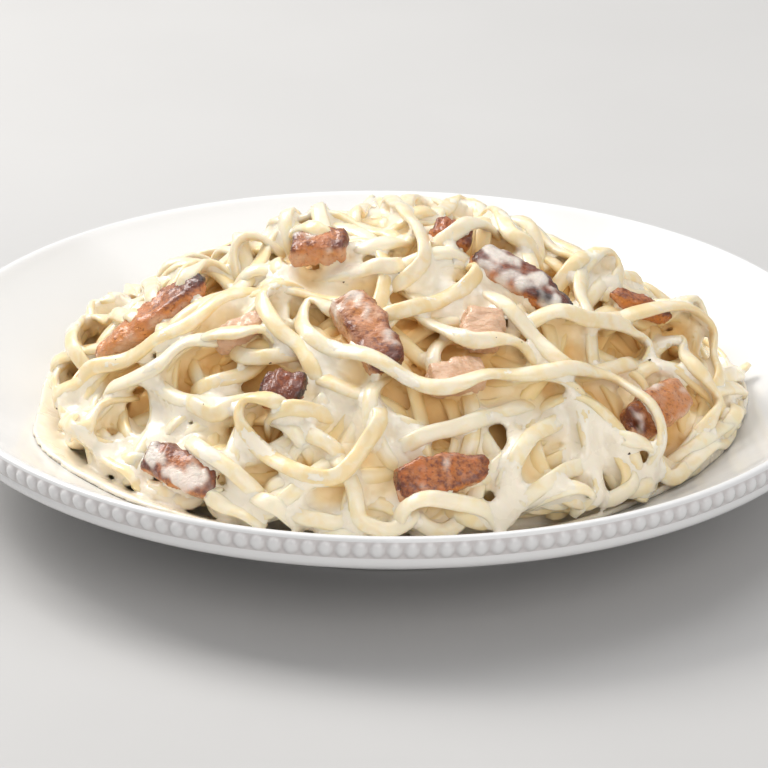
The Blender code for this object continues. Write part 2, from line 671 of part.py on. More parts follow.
def main():
    for thing in list(bpy.data.objects):
        bpy.data.objects.remove(thing)
    porcelain = material("porcelain", (0.86, 0.85, 0.84), 0.15)
    cream = material("cream_sauce", (0.90, 0.83, 0.70), 0.25)
    pasta = material("pasta", (0.86, 0.72, 0.46), 0.35)
    chicken = material("grilled_chicken", (0.55, 0.25, 0.12), 0.45)
    places = list(chicken_places())
    build_plate(porcelain)
    build_pool(cream)
    build_pasta(pasta, places)
    build_chicken(chicken, places)


main()
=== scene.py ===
"""Fettuccine alfredo with grilled chicken, heaped in a deep porcelain plate with a beaded edge."""

import math
import random

import bpy
import numpy as np
import openvdb
from mathutils import Matrix, Vector, noise


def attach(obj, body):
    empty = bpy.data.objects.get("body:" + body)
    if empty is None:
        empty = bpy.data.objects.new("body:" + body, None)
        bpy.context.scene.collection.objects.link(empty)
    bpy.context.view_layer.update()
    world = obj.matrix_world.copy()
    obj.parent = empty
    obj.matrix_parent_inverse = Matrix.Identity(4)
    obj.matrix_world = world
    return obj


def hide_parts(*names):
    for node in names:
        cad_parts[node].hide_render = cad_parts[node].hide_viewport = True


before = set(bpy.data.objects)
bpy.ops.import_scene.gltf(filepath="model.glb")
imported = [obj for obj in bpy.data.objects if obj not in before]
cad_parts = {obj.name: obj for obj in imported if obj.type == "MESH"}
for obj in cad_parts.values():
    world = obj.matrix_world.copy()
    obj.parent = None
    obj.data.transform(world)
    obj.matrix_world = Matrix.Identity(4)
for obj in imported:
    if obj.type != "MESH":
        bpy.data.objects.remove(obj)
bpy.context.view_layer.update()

MM = 0.001


# The photographer's view, and the table under the plate.
# A long lens looks down on the plate by 23 degrees, with the frame's right side a little low.
FRAME_PIXELS = 768
FOCAL_PIXELS = 4886
CAMERA_DISTANCE = 1.5
CAMERA_ELEVATION = math.radians(22.7)
CAMERA_ROLL = math.radians(0.6)
CAMERA_AIM = Vector((-1 * MM, 0, 26.4 * MM))
BACK = Vector((0, -math.cos(CAMERA_ELEVATION), math.sin(CAMERA_ELEVATION)))
RIGHT = Vector((1, 0, 0))
UP = Vector((0, math.sin(CAMERA_ELEVATION), math.cos(CAMERA_ELEVATION)))


def sight_line(pixel):
    """The camera's place, and the direction in which it sees a pixel of the photograph."""
    across = (pixel[0] - FRAME_PIXELS / 2) / FOCAL_PIXELS
    above = (FRAME_PIXELS / 2 - pixel[1]) / FOCAL_PIXELS
    across, above = Matrix.Rotation(CAMERA_ROLL, 2) @ Vector((across, above))
    return CAMERA_AIM + BACK * CAMERA_DISTANCE, -BACK + RIGHT * across + UP * above


def place_camera():
    """Makes the camera from the values above."""
    lens = bpy.data.cameras.new("camera")
    lens.sensor_width = 36
    lens.lens = lens.sensor_width * FOCAL_PIXELS / FRAME_PIXELS
    lens.clip_start = 0.05
    camera = bpy.data.objects.new("camera", lens)
    bpy.context.scene.collection.objects.link(camera)
    roll = Matrix.Rotation(CAMERA_ROLL, 3, BACK)
    axes = Matrix((roll @ RIGHT, roll @ UP, BACK)).transposed().to_4x4()
    axes.translation = CAMERA_AIM + BACK * CAMERA_DISTANCE
    camera.matrix_world = axes
    bpy.context.scene.camera = camera


place_camera()


def softbox(name, place, size, watts, tint=(1, 1, 1)):
    """A square area light that faces the food."""
    lamp = bpy.data.lights.new(name, "AREA")
    lamp.size = size
    lamp.energy = watts
    lamp.color = tint
    made = bpy.data.objects.new(name, lamp)
    bpy.context.scene.collection.objects.link(made)
    made.location = place
    made.rotation_euler = (Vector((0, 0, 0.04)) - Vector(place)).to_track_quat("-Z", "Y").to_euler()


softbox("window", (-0.75, 0.55, 0.95), 0.7, 15, (1.0, 0.985, 0.96))
softbox("overhead", (0.15, 0.35, 1.2), 0.9, 5)
softbox("front_fill", (0.45, -1.2, 0.7), 1.0, 6, (1.0, 0.97, 0.95))
sky = bpy.data.worlds.new("sky")
bpy.context.scene.world = sky
sky.use_nodes = True
sky.node_tree.nodes["Background"].inputs["Color"].default_value = (0.96, 0.98, 1.0, 1)
sky.node_tree.nodes["Background"].inputs["Strength"].default_value = 0.52
bpy.context.scene.view_settings.view_transform = "Standard"


class Wire:
    """A value in a material, so that sums on it are written as Python expressions."""

    def __init__(self, finish, socket):
        self.finish = finish
        self.socket = socket

    def sum(self, operation, a, b):
        return self.finish.node("Math", {"operation": operation}, {0: a, 1: b})

    def __add__(self, other):
        return self.sum("ADD", self, other)

    def __sub__(self, other):
        return self.sum("SUBTRACT", self, other)

    def __rsub__(self, other):
        return self.sum("SUBTRACT", other, self)

    def __mul__(self, other):
        return self.sum("MULTIPLY", self, other)

    __radd__ = __add__
    __rmul__ = __mul__

    def step(self, low, high):
        """0 under low, 1 over high, and a smooth change between them."""
        settings = {"interpolation_type": "SMOOTHSTEP"}
        return self.finish.node("MapRange", settings, {"Value": self, "From Min": low, "From Max": high})


class Finish:
    """A material. node() adds a node to it, and wear() sets or links its shader's sockets."""

    def __init__(self, name):
        self.material = bpy.data.materials.new(name)
        self.material.use_nodes = True
        self.tree = self.material.node_tree
        self.shader = self.tree.nodes["Principled BSDF"]
        self.place = self.node("TexCoord", output="Object")

    def feed(self, node, inputs):
        for key, value in inputs.items():
            socket = node.inputs[key]
            if isinstance(value, Wire):
                self.tree.links.new(value.socket, socket)
            elif isinstance(value, tuple) and len(value) == 3 and socket.type == "RGBA":
                socket.default_value = (*value, 1)
            else:
                socket.default_value = value

    def node(self, kind, settings=None, inputs=None, output=0):
        made = self.tree.nodes.new("ShaderNode" + kind)
        for key, value in (settings or {}).items():
            setattr(made, key, value)
        self.feed(made, inputs or {})
        return Wire(self, made.outputs[output])

    def speckle(self, scale, detail=2.0, stretch=None, distortion=0.0):
        """Noise from 0 to 1, with scale in lumps a metre. Stretch is a scale for each axis."""
        where = self.place
        if stretch:
            where = self.node("VectorMath", {"operation": "MULTIPLY"}, {0: where, 1: stretch})
        inputs = {"Vector": where, "Scale": scale, "Detail": detail, "Distortion": distortion}
        return self.node("TexNoise", {}, inputs)

    def painted(self, name):
        """A value from 0 to 1 that the mesh carries at each vertex."""
        return self.node("Attribute", {"attribute_name": name}, output="Fac")

    def mix(self, share, first, second):
        return self.node("Mix", {"data_type": "RGBA"}, {0: share, 6: first, 7: second}, output=2)

    def bump(self, height, depth, under=None):
        """A surface normal from a height of 0 to 1, which stands for depth in metres."""
        inputs = {"Height": height, "Distance": depth}
        if under:
            inputs["Normal"] = under
        return self.node("Bump", {}, inputs)

    def wear(self, **inputs):
        self.feed(self.shader, {key.replace("_", " "): value for key, value in inputs.items()})


def add_mesh(name, points, faces, finish, slot, paint=None, smooth=True):
    """A new piece from arrays. Paint is the values that its material reads at each vertex.

    A piece with a material slot is part of the dish, and rides with it."""
    mesh = bpy.data.meshes.new(name)
    mesh.from_pydata(points, [], faces)
    for key, values in (paint or {}).items():
        mesh.attributes.new(key, "FLOAT", "POINT").data.foreach_set("value", values)
    mesh.update()
    if smooth:
        mesh.shade_smooth()
    piece = bpy.data.objects.new(name, mesh)
    bpy.context.scene.collection.objects.link(piece)
    mesh.materials.append(finish.material)
    if slot:
        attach(piece, "root")
    return piece


table_finish = Finish("table_surface")
grain = table_finish.speckle(9, 4)
table_finish.wear(Base_Color=table_finish.mix(grain, (0.50, 0.49, 0.48), (0.54, 0.53, 0.52)),
                  Roughness=0.55 + 0.1 * grain)
TABLE_HALF = 3.0
corners = [(x * TABLE_HALF, y * TABLE_HALF, 0) for x, y in ((-1, -1), (1, -1), (1, 1), (-1, 1))]
table = add_mesh("table", corners, [(0, 1, 2, 3)], table_finish, None)


# The plate: white glazed porcelain, turned with a deep well, a wide rounded side and a foot ring.
# A row of pressed beads runs round the outside of its lip, over a smooth band.
RIM_RADIUS = 140.0
# Radius and height in millimetres, from the centre over the lip to the band, and back underneath.
WELL_LINE = [(0, 7.5), (30, 7.55), (60, 7.8), (78, 9.5), (95, 14.5), (112, 22.5), (127, 31.0),
             (134, 35.3), (136.7, 37.3), (137.9, 37.95), (138.9, 38.0), (139.7, 37.6), (140.0, 36.8)]
BAND_LINE = [(140.0, 36.8), (139.8, 34.3), (139.5, 31.6)]
UNDER_LINE = [(139.5, 31.6), (139.6, 30.2), (139.2, 29.0), (138.0, 27.8), (135.5, 26.6), (128, 23.5),
              (112, 16.0), (95, 8.5), (84, 5.2), (81, 3.6), (79.9, 1.8), (79.5, 0.0), (75.5, 0.0),
              (74.6, 1.6), (73.5, 2.9), (60, 3.0), (0.0, 3.0)]
PLATE_STEPS = 360
BEADS = 180
BEAD_STEPS = 1440
BEAD_ROWS = 16
BEAD_RELIEF = 1.15
# A bead's width as a share of the beads' spacing, and its height as a share of the band's.
BEAD_SPAN = 0.88
BEAD_TALL = 0.92


def rounded(line, times=2):
    """Cuts a line's corners so that it runs smoothly."""
    line = np.asarray(line, float)
    for _ in range(times):
        first = 0.75 * line[:-1] + 0.25 * line[1:]
        second = 0.25 * line[:-1] + 0.75 * line[1:]
        middle = np.stack([first, second], 1).reshape(-1, line.shape[1])
        line = np.vstack([line[:1], middle, line[-1:]])
    return line


def turned(line, steps):
    """Points of a profile turned round the Z axis, ring by ring."""
    bearings = 2 * math.pi * np.arange(steps) / steps
    radii, heights = line[:, 0, None], line[:, 1, None]
    return np.stack([radii * np.cos(bearings), radii * np.sin(bearings),
                     heights + 0 * bearings], -1)


def ring_faces(start, rings, steps):
    """Quads between rings that follow each other in a list of points."""
    row = start + steps * np.arange(rings - 1)[:, None]
    here, beside = np.arange(steps), (np.arange(steps) + 1) % steps
    return np.stack([row + here, row + beside, row + steps + beside, row + steps + here], -1).reshape(-1, 4)


def stitch(lower, upper):
    """Triangles between two rings of points, one of which has several times the other's number."""
    faces = []
    i = j = 0
    a, b = len(lower), len(upper)
    while i < a or j < b:
        if j >= b or (i < a and (i + 0.5) / a <= (j + 0.5) / b):
            faces.append((lower[i % a], lower[(i + 1) % a], upper[j % b]))
            i += 1
        else:
            faces.append((lower[i % a], upper[(j + 1) % b], upper[j % b]))
            j += 1
    return faces


def build_plate():
    """The plate's points, its faces, and how deep each point lies between the beads, where shade is painted
    on the glaze.
    """
    well = rounded(WELL_LINE)[1:-1]
    under = rounded(UNDER_LINE)[1:-1]
    share = np.linspace(0, 1, BEAD_ROWS)
    heights = np.array([z for _, z in BAND_LINE])
    band_z = heights[0] + (heights[-1] - heights[0]) * share
    band_r = np.interp(-band_z, -heights, [r for r, _ in BAND_LINE])
    band = turned(np.column_stack([band_r, band_z]), BEAD_STEPS)
    pitch = (np.arange(BEAD_STEPS) * BEADS / BEAD_STEPS) % 1 - 0.5
    across = (pitch / (BEAD_SPAN / 2))[None, :]
    down = ((share - 0.5) / (BEAD_TALL / 2))[:, None]
    swell = np.sqrt(np.clip(1 - across**2 - down**2, 0, 1)) * BEAD_RELIEF
    band[..., :2] *= (1 + swell / RIM_RADIUS)[..., None]
    rings = [turned(well, PLATE_STEPS), band, turned(under, PLATE_STEPS)]
    points = [np.array([[0, 0, WELL_LINE[0][1]]])] + [r.reshape(-1, 3) for r in rings]
    points.append(np.array([[0, 0, UNDER_LINE[-1][1]]]))
    starts = np.cumsum([0] + [len(p) for p in points])
    faces = []
    for ring, start in zip(rings, starts[1:]):
        faces += ring_faces(start, *ring.shape[:2]).tolist()
    first = starts[1] + np.arange(PLATE_STEPS)
    last = starts[4] - PLATE_STEPS + np.arange(PLATE_STEPS)
    faces += stitch(starts[2] - PLATE_STEPS + np.arange(PLATE_STEPS), starts[2] + np.arange(BEAD_STEPS))
    faces += stitch(starts[3] - BEAD_STEPS + np.arange(BEAD_STEPS), starts[3] + np.arange(PLATE_STEPS))
    for i in range(PLATE_STEPS):
        j = (i + 1) % PLATE_STEPS
        faces += [(0, first[i], first[j]), (starts[4], last[j], last[i])]
    groove_shade = np.zeros(starts[-1])
    groove_shade[starts[2]:starts[3]] = (1 - swell / BEAD_RELIEF).ravel()
    faces = [tuple(int(v) for v in reversed(face)) for face in faces]
    return np.vstack(points) * MM, faces, groove_shade


porcelain = Finish("porcelain")
# Painted shade, with a little pooled glaze: the porcelain is painted a darker pinkish grey in the grooves
# between the beads.
groove_shade = porcelain.painted("groove_shade")
ripple = porcelain.speckle(60, 2)
porcelain.wear(Base_Color=porcelain.mix(groove_shade * 0.8, (0.76, 0.755, 0.75), (0.60, 0.56, 0.55)),
               Roughness=0.10 + 0.07 * ripple, Specular_IOR_Level=0.5,
               Normal=porcelain.bump(ripple, 0.15 * MM))
points, faces, groove_shade_values = build_plate()
plate = add_mesh("glazed_plate", points, faces, porcelain, "porcelain", {"groove_shade": groove_shade_values})
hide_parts("plate")


# The heap's form: a lumpy mound off the plate's centre, which the noodles and the chicken follow.
# It is the mound that the frame's solids lie on, so that each piece lies where its solid lies.
MOUND_RADIUS = 107 * MM
MOUND_TOP = 84 * MM
MOUND_EDGE = 15 * MM
MOUND_CENTRE = (3 * MM, 3 * MM)
# The heap's far side is lower than a round mound: by how much, how far back, and at most what
# share of its height over FAR_BASE.
FAR_DIP = 10 * MM
FAR_REACH = 100 * MM
FAR_DIP_SHARE = 0.33
FAR_BASE = 20 * MM
# No point that the photograph shows lies further back than this.
LAST_SEEN = 55 * MM
# How far the noodles' crests stand over the heap's mean surface, and how near its edge that fades.
CREST_HEIGHT = 3 * MM
CREST_EDGE = 6 * MM
# The steepest slope that a piece on the heap leans with.
STEEPEST = 1.2
# Half the depth of the space, along a sight line, in which the heap lies.
SIGHT_REACH = 0.16
# The lip's top beyond the well, as radius and height in millimetres.
LIP_LINE = [(135.5, 36.5), (137.8, 38.0), (139.2, 38.0)]


def well_height(radius):
    """Height of the plate's inside at a distance from its centre."""
    radii, heights = zip(*WELL_LINE[:7], *LIP_LINE)
    return np.interp(radius, np.array(radii) * MM, np.array(heights) * MM)


def far_dip(y, dome):
    """How much lower than a round mound the heap is at points of its far side."""
    behind = np.clip((y - MOUND_CENTRE[1]) / FAR_REACH, 0, 1)
    most = FAR_DIP_SHARE * np.maximum(dome - FAR_BASE, 0)
    return np.minimum(FAR_DIP * np.sin(math.pi * behind) ** 0.8, most)


def mound_height(x, y):
    """Height of the heap's mean surface over a point of the plan, or of the plate beyond it."""
    x, y = np.asarray(x, float), np.asarray(y, float)
    away = np.hypot(x - MOUND_CENTRE[0], y - MOUND_CENTRE[1])
    share = np.clip(away / MOUND_RADIUS, 0, 1)
    dome = MOUND_EDGE + (MOUND_TOP - MOUND_EDGE) * (1 - share**1.5) ** 0.6
    dome = dome - far_dip(y, dome)
    lumps = 1.6 * np.sin(x / (17 * MM) + 1.0) * np.cos(y / (19 * MM) - 0.6)
    lumps += 1.0 * np.sin((x - y) / (11 * MM)) * np.cos((x + y) / (13 * MM) + 0.4)
    return np.maximum(dome + lumps * MM * (1 - share), well_height(np.hypot(x, y)))


def mound_normal(x, y):
    """The heap's outward direction, smoothed over a few millimetres and held to 50 degrees."""
    step = 6 * MM
    slope_x = (mound_height(x + step, y) - mound_height(x - step, y)) / (2 * step)
    slope_y = (mound_height(x, y + step) - mound_height(x, y - step)) / (2 * step)
    steepness = np.hypot(slope_x, slope_y)
    eased = np.minimum(steepness, STEEPEST) / np.maximum(steepness, 1e-9)
    normal = np.stack([-slope_x * eased, -slope_y * eased, np.ones_like(steepness)], -1)
    return normal / np.linalg.norm(normal, axis=-1, keepdims=True)


def first_under(pixel, height_over):
    """The first point on a pixel's sight line where height_over, a function, gives less than 0."""
    eye, towards = sight_line(pixel)
    along = np.linspace(CAMERA_DISTANCE - SIGHT_REACH, CAMERA_DISTANCE + SIGHT_REACH, 1601)
    points = np.array(eye) + along[:, None] * np.array(towards)
    points = points[points[:, 1] < LAST_SEEN]
    above = height_over(points)
    below = np.nonzero(above < 0)[0]
    return points[below[0] if len(below) else int(np.argmin(above))]


def on_mound(pixel):
    """The point of the heap that shows at a pixel of the photograph."""
    def height_over(points):
        away = np.hypot(points[:, 0] - MOUND_CENTRE[0], points[:, 1] - MOUND_CENTRE[1])
        crest = CREST_HEIGHT * np.clip((MOUND_RADIUS - away) / CREST_EDGE, 0, 1)
        return points[:, 2] - mound_height(points[:, 0], points[:, 1]) - crest
    return first_under(pixel, height_over)


# The chicken: breast grilled in strips and cut up, browned outside with charred edges.
# Some pieces show their pale cut side, and sauce has run over most of them.
# Each has both its ends in the photograph's pixels, its width, thickness and sink in millimetres,
# how far its first and its last end are charred, and how far it is browned and covered in sauce.
SEEN_CHICKEN = {
    "left_strip": ((101, 357), (206, 286), 12.0, 7.0, -1.6, 0.05, 1.0, 0.58, 0.08),
    "left_pale": ((214, 338), (262, 318), 8.0, 7.0, 1.5, 0.0, 0.1, 0.25, 0.1),
    "left_small": ((262, 386), (304, 390), 11.0, 8.0, 0.5, 0.8, 0.8, 1.0, 0.05),
    "front_left": ((146, 457), (214, 485), 11.0, 7.0, 0.0, 0.8, 0.6, 0.7, 0.4),
    "front": ((399, 490), (488, 466), 12.5, 7.5, 0.2, 0.6, 0.6, 0.66, 0.2),
    "centre": ((345, 300), (389, 370), 12.5, 8.0, -0.6, 0.4, 0.9, 0.5, 0.38),
    "top_left": ((292, 250), (346, 244), 11.0, 8.0, 0.2, 0.7, 0.6, 0.6, 0.35),
    "top_right": ((433, 228), (470, 240), 8.5, 8.0, 1.2, 0.5, 0.7, 0.8, 0.2),
    "charred": ((474, 258), (568, 314), 12.5, 7.5, -0.8, 0.85, 1.0, 0.85, 0.36),
    "pale_upper": ((482, 308), (482, 348), 12.5, 7.5, 0.8, 0.0, 0.0, 0.1, 0.06),
    "pale_lower": ((430, 378), (484, 372), 11.0, 7.0, 0.8, 0.0, 0.1, 0.2, 0.08),
    "right_strip": ((612, 292), (670, 318), 6.0, 6.0, 0.2, 0.4, 0.8, 0.75, 0.0),
    "right_chunk": ((632, 424), (682, 396), 12.0, 8.5, 0.6, 0.7, 0.35, 0.5, 0.2),
}
# The far side's chicken: bearing from the mound's centre in degrees, distance out and length.
FAR_CHICKEN = {
    "far_left": (128, 66 * MM, 34 * MM),
    "far_middle": (94, 86 * MM, 30 * MM),
    "far_right": (52, 64 * MM, 36 * MM),
    "far_low": (66, 93 * MM, 28 * MM),
}
FAR_SIZE = (11 * MM, 8 * MM)
FAR_SINK = 0.5 * MM
FAR_SLANT = math.radians(60)
FAR_LOOKS = (0.5, 0.8, 0.75, 0.2)
# Pieces that taper: the width at the first end as a share of the greatest, the place of the
# greatest as a share of the length, and the width at the last end.
CHICKEN_TAPERS = {
    "left_strip": (0.3, 0.64, 0.62),
    "left_small": (0.75, 0.4, 0.85),
    "front_left": (0.6, 0.45, 0.7),
    "front": (0.8, 0.32, 0.32),
    "charred": (0.75, 0.42, 0.42),
    "right_strip": (0.35, 0.5, 0.5),
}
BLUNT = (0.82, 0.5, 0.82)
# The solids' rings, which the lumps of a piece's sides are counted in, and this mesh's own.
CHICKEN_RINGS = 5
MEAT_RINGS = 64
MEAT_SIDES = 56
# How square a piece's section is, and the length of its rounded ends as a share of the whole.
MEAT_SQUARENESS = 4.5
END_ROUNDING = 0.08
# How far a piece's middle sways and its ends slant, as shares of its width, and how much longer
# its skin is than its solid.
MEAT_SWAY = 0.07
MEAT_SLANT = 0.05
MEAT_STRETCH = 1.02
# How high its lumps, its torn fibres and the crags of its char stand, in millimetres.
LUMP_LIFT = 0.75
FIBRE_LIFT = 0.30
CRAG_LIFT = 0.6
FILM_THICKNESS = 0.55 * MM


def frame_between(start, end, sink):
    """Where a piece lies: its middle on the heap, its X from start to end and its Z outwards."""
    start, end = Vector(start), Vector(end)
    middle = (start + end) / 2
    out = Vector(mound_normal(middle.x, middle.y))
    along = (end - start).normalized()
    across = out.cross(along).normalized()
    out = along.cross(across)
    place = Matrix((along, across, out)).transposed().to_4x4()
    place.translation = middle - out * sink
    return place, (end - start).length


def chicken_places():
    """Name, place, length, width, thickness and looks of every chicken piece."""
    for name, (first, last, width, thickness, sink, *looks) in SEEN_CHICKEN.items():
        place, length = frame_between(on_mound(first), on_mound(last), sink * MM)
        yield name, place, length, width * MM, thickness * MM, *looks
    for name, (bearing, away, length) in FAR_CHICKEN.items():
        a = math.radians(bearing)
        x, y = MOUND_CENTRE[0] + away * math.cos(a), MOUND_CENTRE[1] + away * math.sin(a)
        slant = a + FAR_SLANT
        half = Vector((math.cos(slant), math.sin(slant))) * length / 2
        ends = [(x + k * half.x, y + k * half.y) for k in (-1, 1)]
        ends = [(*p, float(mound_height(*p))) for p in ends]
        place, run = frame_between(*ends, FAR_SINK)
        yield name, place, run, *FAR_SIZE, *FAR_LOOKS


def chicken_section(key, ring, angle):
    """How far a piece's side stands out at a ring and an angle, as its solid's does."""
    c, s = math.cos(angle), math.sin(angle)
    square = (abs(c) ** MEAT_SQUARENESS + abs(s) ** MEAT_SQUARENESS) ** (-1 / MEAT_SQUARENESS)
    return square * (1 + 0.16 * noise.noise(Vector((1.7 * ring, c * 1.3 + key, s * 1.3))))


def angles_round():
    """The angle of each point round a piece's section, as one row."""
    return 2 * math.pi * np.arange(MEAT_SIDES)[None, :] / MEAT_SIDES


def tapered(name, share):
    """A piece's width at a share of its length, as a share of its greatest width."""
    first, widest, last = CHICKEN_TAPERS.get(name, BLUNT)
    end, inwards = (first, share / widest) if share < widest else (last, (1 - share) / (1 - widest))
    return end + (1 - end) * math.sin(math.pi / 2 * inwards) ** 0.8


def chicken_points(name, length, width, thickness):
    """A strip's or chunk's skin, point by point along X: lumpy, tapered and swaying, with slanted, rounded
    ends.
    """
    key = sum(ord(letter) for letter in name)
    points = np.zeros((MEAT_RINGS, MEAT_SIDES, 3))
    for i in range(MEAT_RINGS):
        share = (1 - math.cos(math.pi * i / (MEAT_RINGS - 1))) / 2
        taper = tapered(name, share)
        to_end = min(share, 1 - share) / END_ROUNDING
        taper *= (1 - max(0.0, 1 - to_end) ** 3) ** 0.45 if to_end < 1 else 1.0
        sway = MEAT_SWAY * width * math.sin(3.3 * share + key)
        for j in range(MEAT_SIDES):
            angle = 2 * math.pi * j / MEAT_SIDES
            c, s = math.cos(angle), math.sin(angle)
            form = chicken_section(key, share * (CHICKEN_RINGS - 1), angle) * taper
            points[i, j] = ((share - 0.5) * length * MEAT_STRETCH + MEAT_SLANT * width * s,
                            sway + c * form * width / 2, s * form * thickness / 2)
    return points


def roughened(points, key, crags, sauced):
    """Adds torn fibres, crags where it has charred, and a film of sauce. Gives the film as well."""
    ahead = np.gradient(points, axis=0)
    round_it = np.roll(points, -1, 1) - np.roll(points, 1, 1)
    out = np.cross(round_it, ahead)
    out /= np.maximum(np.linalg.norm(out, axis=-1, keepdims=True), 1e-9)
    centre = points.mean(axis=1, keepdims=True)
    out *= np.sign((out * (points - centre)).sum(axis=-1, keepdims=True) + 1e-12)
    lift = np.zeros(points.shape[:2])
    film = np.zeros(points.shape[:2])
    for i, j in np.ndindex(*lift.shape):
        at = Vector(points[i, j] * 1000)
        broad = noise.noise(at * 0.22 + Vector((key, 0, 0)))
        fibre = noise.noise(Vector((at.x * 0.85 + 0.35 * at.y, at.y * 0.25, at.z * 0.25 + key)))
        grit = noise.noise(at * 0.9 + Vector((0, key, 0)))
        lift[i, j] = LUMP_LIFT * broad + FIBRE_LIFT * fibre + crags * CRAG_LIFT * abs(grit)
        lobes = noise.noise(at * 0.14 + Vector((0, 0, key)))
        lobes += 0.4 * noise.noise(at * 0.35 + Vector((0, 0, key)))
        middle = 1 - (abs(i / (len(lift) - 1) - 0.42) / 0.5) ** 2
        film[i, j] = 1.3 * lobes + 1.5 * sauced + 0.35 * middle - 0.6
    film = np.clip(film / 1.1, 0, 1) * min(4 * sauced, 1)
    film = film * film * (3 - 2 * film) * np.clip(0.6 + 2 * np.sin(angles_round()), 0, 1)
    lift = lift * (1 - 0.6 * film)
    return points + out * (lift * MM + film * FILM_THICKNESS)[..., None], film


meat = Finish("grilled_chicken")
char_share, brown_share, sauce_share = (meat.painted(n) for n in ("char", "brown", "sauced"))
blotch = meat.speckle(230, 4)
fine = meat.speckle(900, 5)
fibre = meat.speckle(380, 4, stretch=(1.0, 3.2, 2.4), distortion=0.6)
pale = meat.mix(fibre, (0.64, 0.35, 0.20), (0.78, 0.54, 0.36))
golden = meat.mix(blotch.step(0.3, 0.7), (0.52, 0.14, 0.022), (0.70, 0.27, 0.06))
roasted = meat.mix(blotch.step(0.3, 0.7), (0.29, 0.06, 0.010), (0.44, 0.12, 0.022))
browning = brown_share * 1.6 + blotch * 1.1 - 0.9
skin = meat.mix(browning.step(0.0, 0.6), pale, golden)
skin = meat.mix(browning.step(0.5, 1.1), skin, roasted)
freckles = (fine * 1.2 + browning * 0.3 - 0.80).step(0.0, 0.25)
skin = meat.mix(freckles * 0.7, skin, (0.16, 0.03, 0.010))
scorched = (char_share * 1.4 + fine * 0.6 + blotch * 0.8 - 0.92).step(0.0, 0.6)
skin = meat.mix(scorched, skin, (0.15, 0.030, 0.010))
burnt = (char_share * 1.3 + fine * 1.0 + blotch * 0.5 - 1.45).step(0.0, 0.5)
skin = meat.mix(burnt, skin, (0.035, 0.012, 0.009))
wet = sauce_share * (0.65 + 0.6 * blotch)
skin = meat.mix(wet.step(0.05, 0.9) * 0.85, skin, (0.88, 0.80, 0.71))
meat.wear(Base_Color=skin, Roughness=0.22 + 0.25 * fine, Coat_Weight=0.5, Coat_Roughness=0.12,
          Subsurface_Weight=0.15, Subsurface_Scale=1.2 * MM, Subsurface_Radius=(1.0, 0.45, 0.25),
          Normal=meat.bump(fine, 0.3 * MM, meat.bump(fibre, 0.5 * MM)))

chicken_shapes = {}
for name, place, length, width, thickness, *looks in chicken_places():
    char_first, char_last, browning, sauced = looks
    key = sum(ord(letter) for letter in name) % 50
    points = chicken_points(name, length, width, thickness)
    points, film = roughened(points, key, max(char_first, char_last), sauced)
    share = np.linspace(0, 1, MEAT_RINGS)[:, None]
    turn = angles_round()
    above = 0.55 + 0.45 * np.clip(np.sin(turn) * 1.5, -1, 1)
    near_edge = np.exp(-((turn - 2.5) / 0.45) ** 2) + 0.7 * np.exp(-((turn - 0.6) / 0.4) ** 2)
    patches = 0.5 + 0.5 * np.sin(7 * share + 0.7 * key + 1.5 * np.sin(turn))
    char = char_first * (1 - share) ** 2.2 + char_last * share**2.2
    edges = 0.8 * max(char_first + char_last - 1, 0) * near_edge * patches
    char = char * (0.75 + 0.25 * above) + edges
    cut_side = np.clip(1.8 * np.cos(turn - 3.4) - 0.7, 0, 1)
    browner = 0.35 * (share - 0.5) * (char_last - char_first)
    paint = {"char": char * (1 - 0.7 * cut_side), "brown": browning * (1 - 0.3 * cut_side) + browner,
             "sauced": film}
    flat = points.reshape(-1, 3)
    flat = flat @ np.array(place.to_3x3()).T + np.array(place.translation)
    flat = np.vstack([flat, flat[:MEAT_SIDES].mean(axis=0), flat[-MEAT_SIDES:].mean(axis=0)])
    faces = [tuple(f) for f in ring_faces(0, MEAT_RINGS, MEAT_SIDES).tolist()]
    for j in range(MEAT_SIDES):
        k = (j + 1) % MEAT_SIDES
        last = (MEAT_RINGS - 1) * MEAT_SIDES
        faces += [(len(flat) - 2, k, j), (len(flat) - 1, last + j, last + k)]
    paint = {n: np.concatenate([v.ravel(), [v[0].mean(), v[-1].mean()]]) for n, v in paint.items()}
    chicken_shapes[name] = (flat, faces, place, (length, width, thickness))
    piece = add_mesh(f"grilled_{name}", flat, faces, meat, "grilled_chicken", paint)
    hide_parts(f"chicken_{name}")


# The fettuccine: boiled egg noodles, soft and flat with rounded edges, tangled and heaped.
# They are laid one by one on a height map of the pile, so each rests on those under it.
NOODLE_WIDTH = 5.1 * MM
NOODLE_THICKNESS = 2.5 * MM
# How far round its line a noodle touches the pile.
NOODLE_REACH = 2.3 * MM
NOODLE_SQUARENESS = 2.6
# A noodle's size at its end and at the next two stations.
END_SIZES = (0.55, 0.92, 1.0)
STATION = 2.2 * MM
TIGHTEST_BEND = 8 * MM
# How far a noodle rolls over in a bend, and leans and sways where it runs straight, in radians.
BEND_ROLL = 0.8
LEAN = 0.35
SWAY = 0.3
SWAY_LENGTH = 14 * MM
# How far a noodle may sag between stations, and how deep its ends are tucked in.
SAG = 0.22 * MM
SAG_PASSES = 40
TUCK = 8 * MM
TUCK_STATIONS = 5
# The pile's height map.
CELL = 1.0 * MM
HALF_SPAN = 148 * MM
CELLS = int(2 * HALF_SPAN / CELL) + 1
PROFILE_STEP = 0.5 * MM
NO_LID = 1.0
# The heap's skin, which the noodles lie along: how far it has settled, how far down from its top
# noodles and core reach, how deep the core lies in it, and the pool of sauce that it stands in.
SETTLED = 3.5 * MM
HEAP_RADIUS = MOUND_RADIUS - 3 * MM
LAST_RUN = 126 * MM
CORE_DEPTH = 8 * MM
CORE_RUN = 117 * MM
PLATE_CLEARANCE = 0.3 * MM
POOL_DEPTH = 1.9 * MM
POOL_RADIUS = 106 * MM
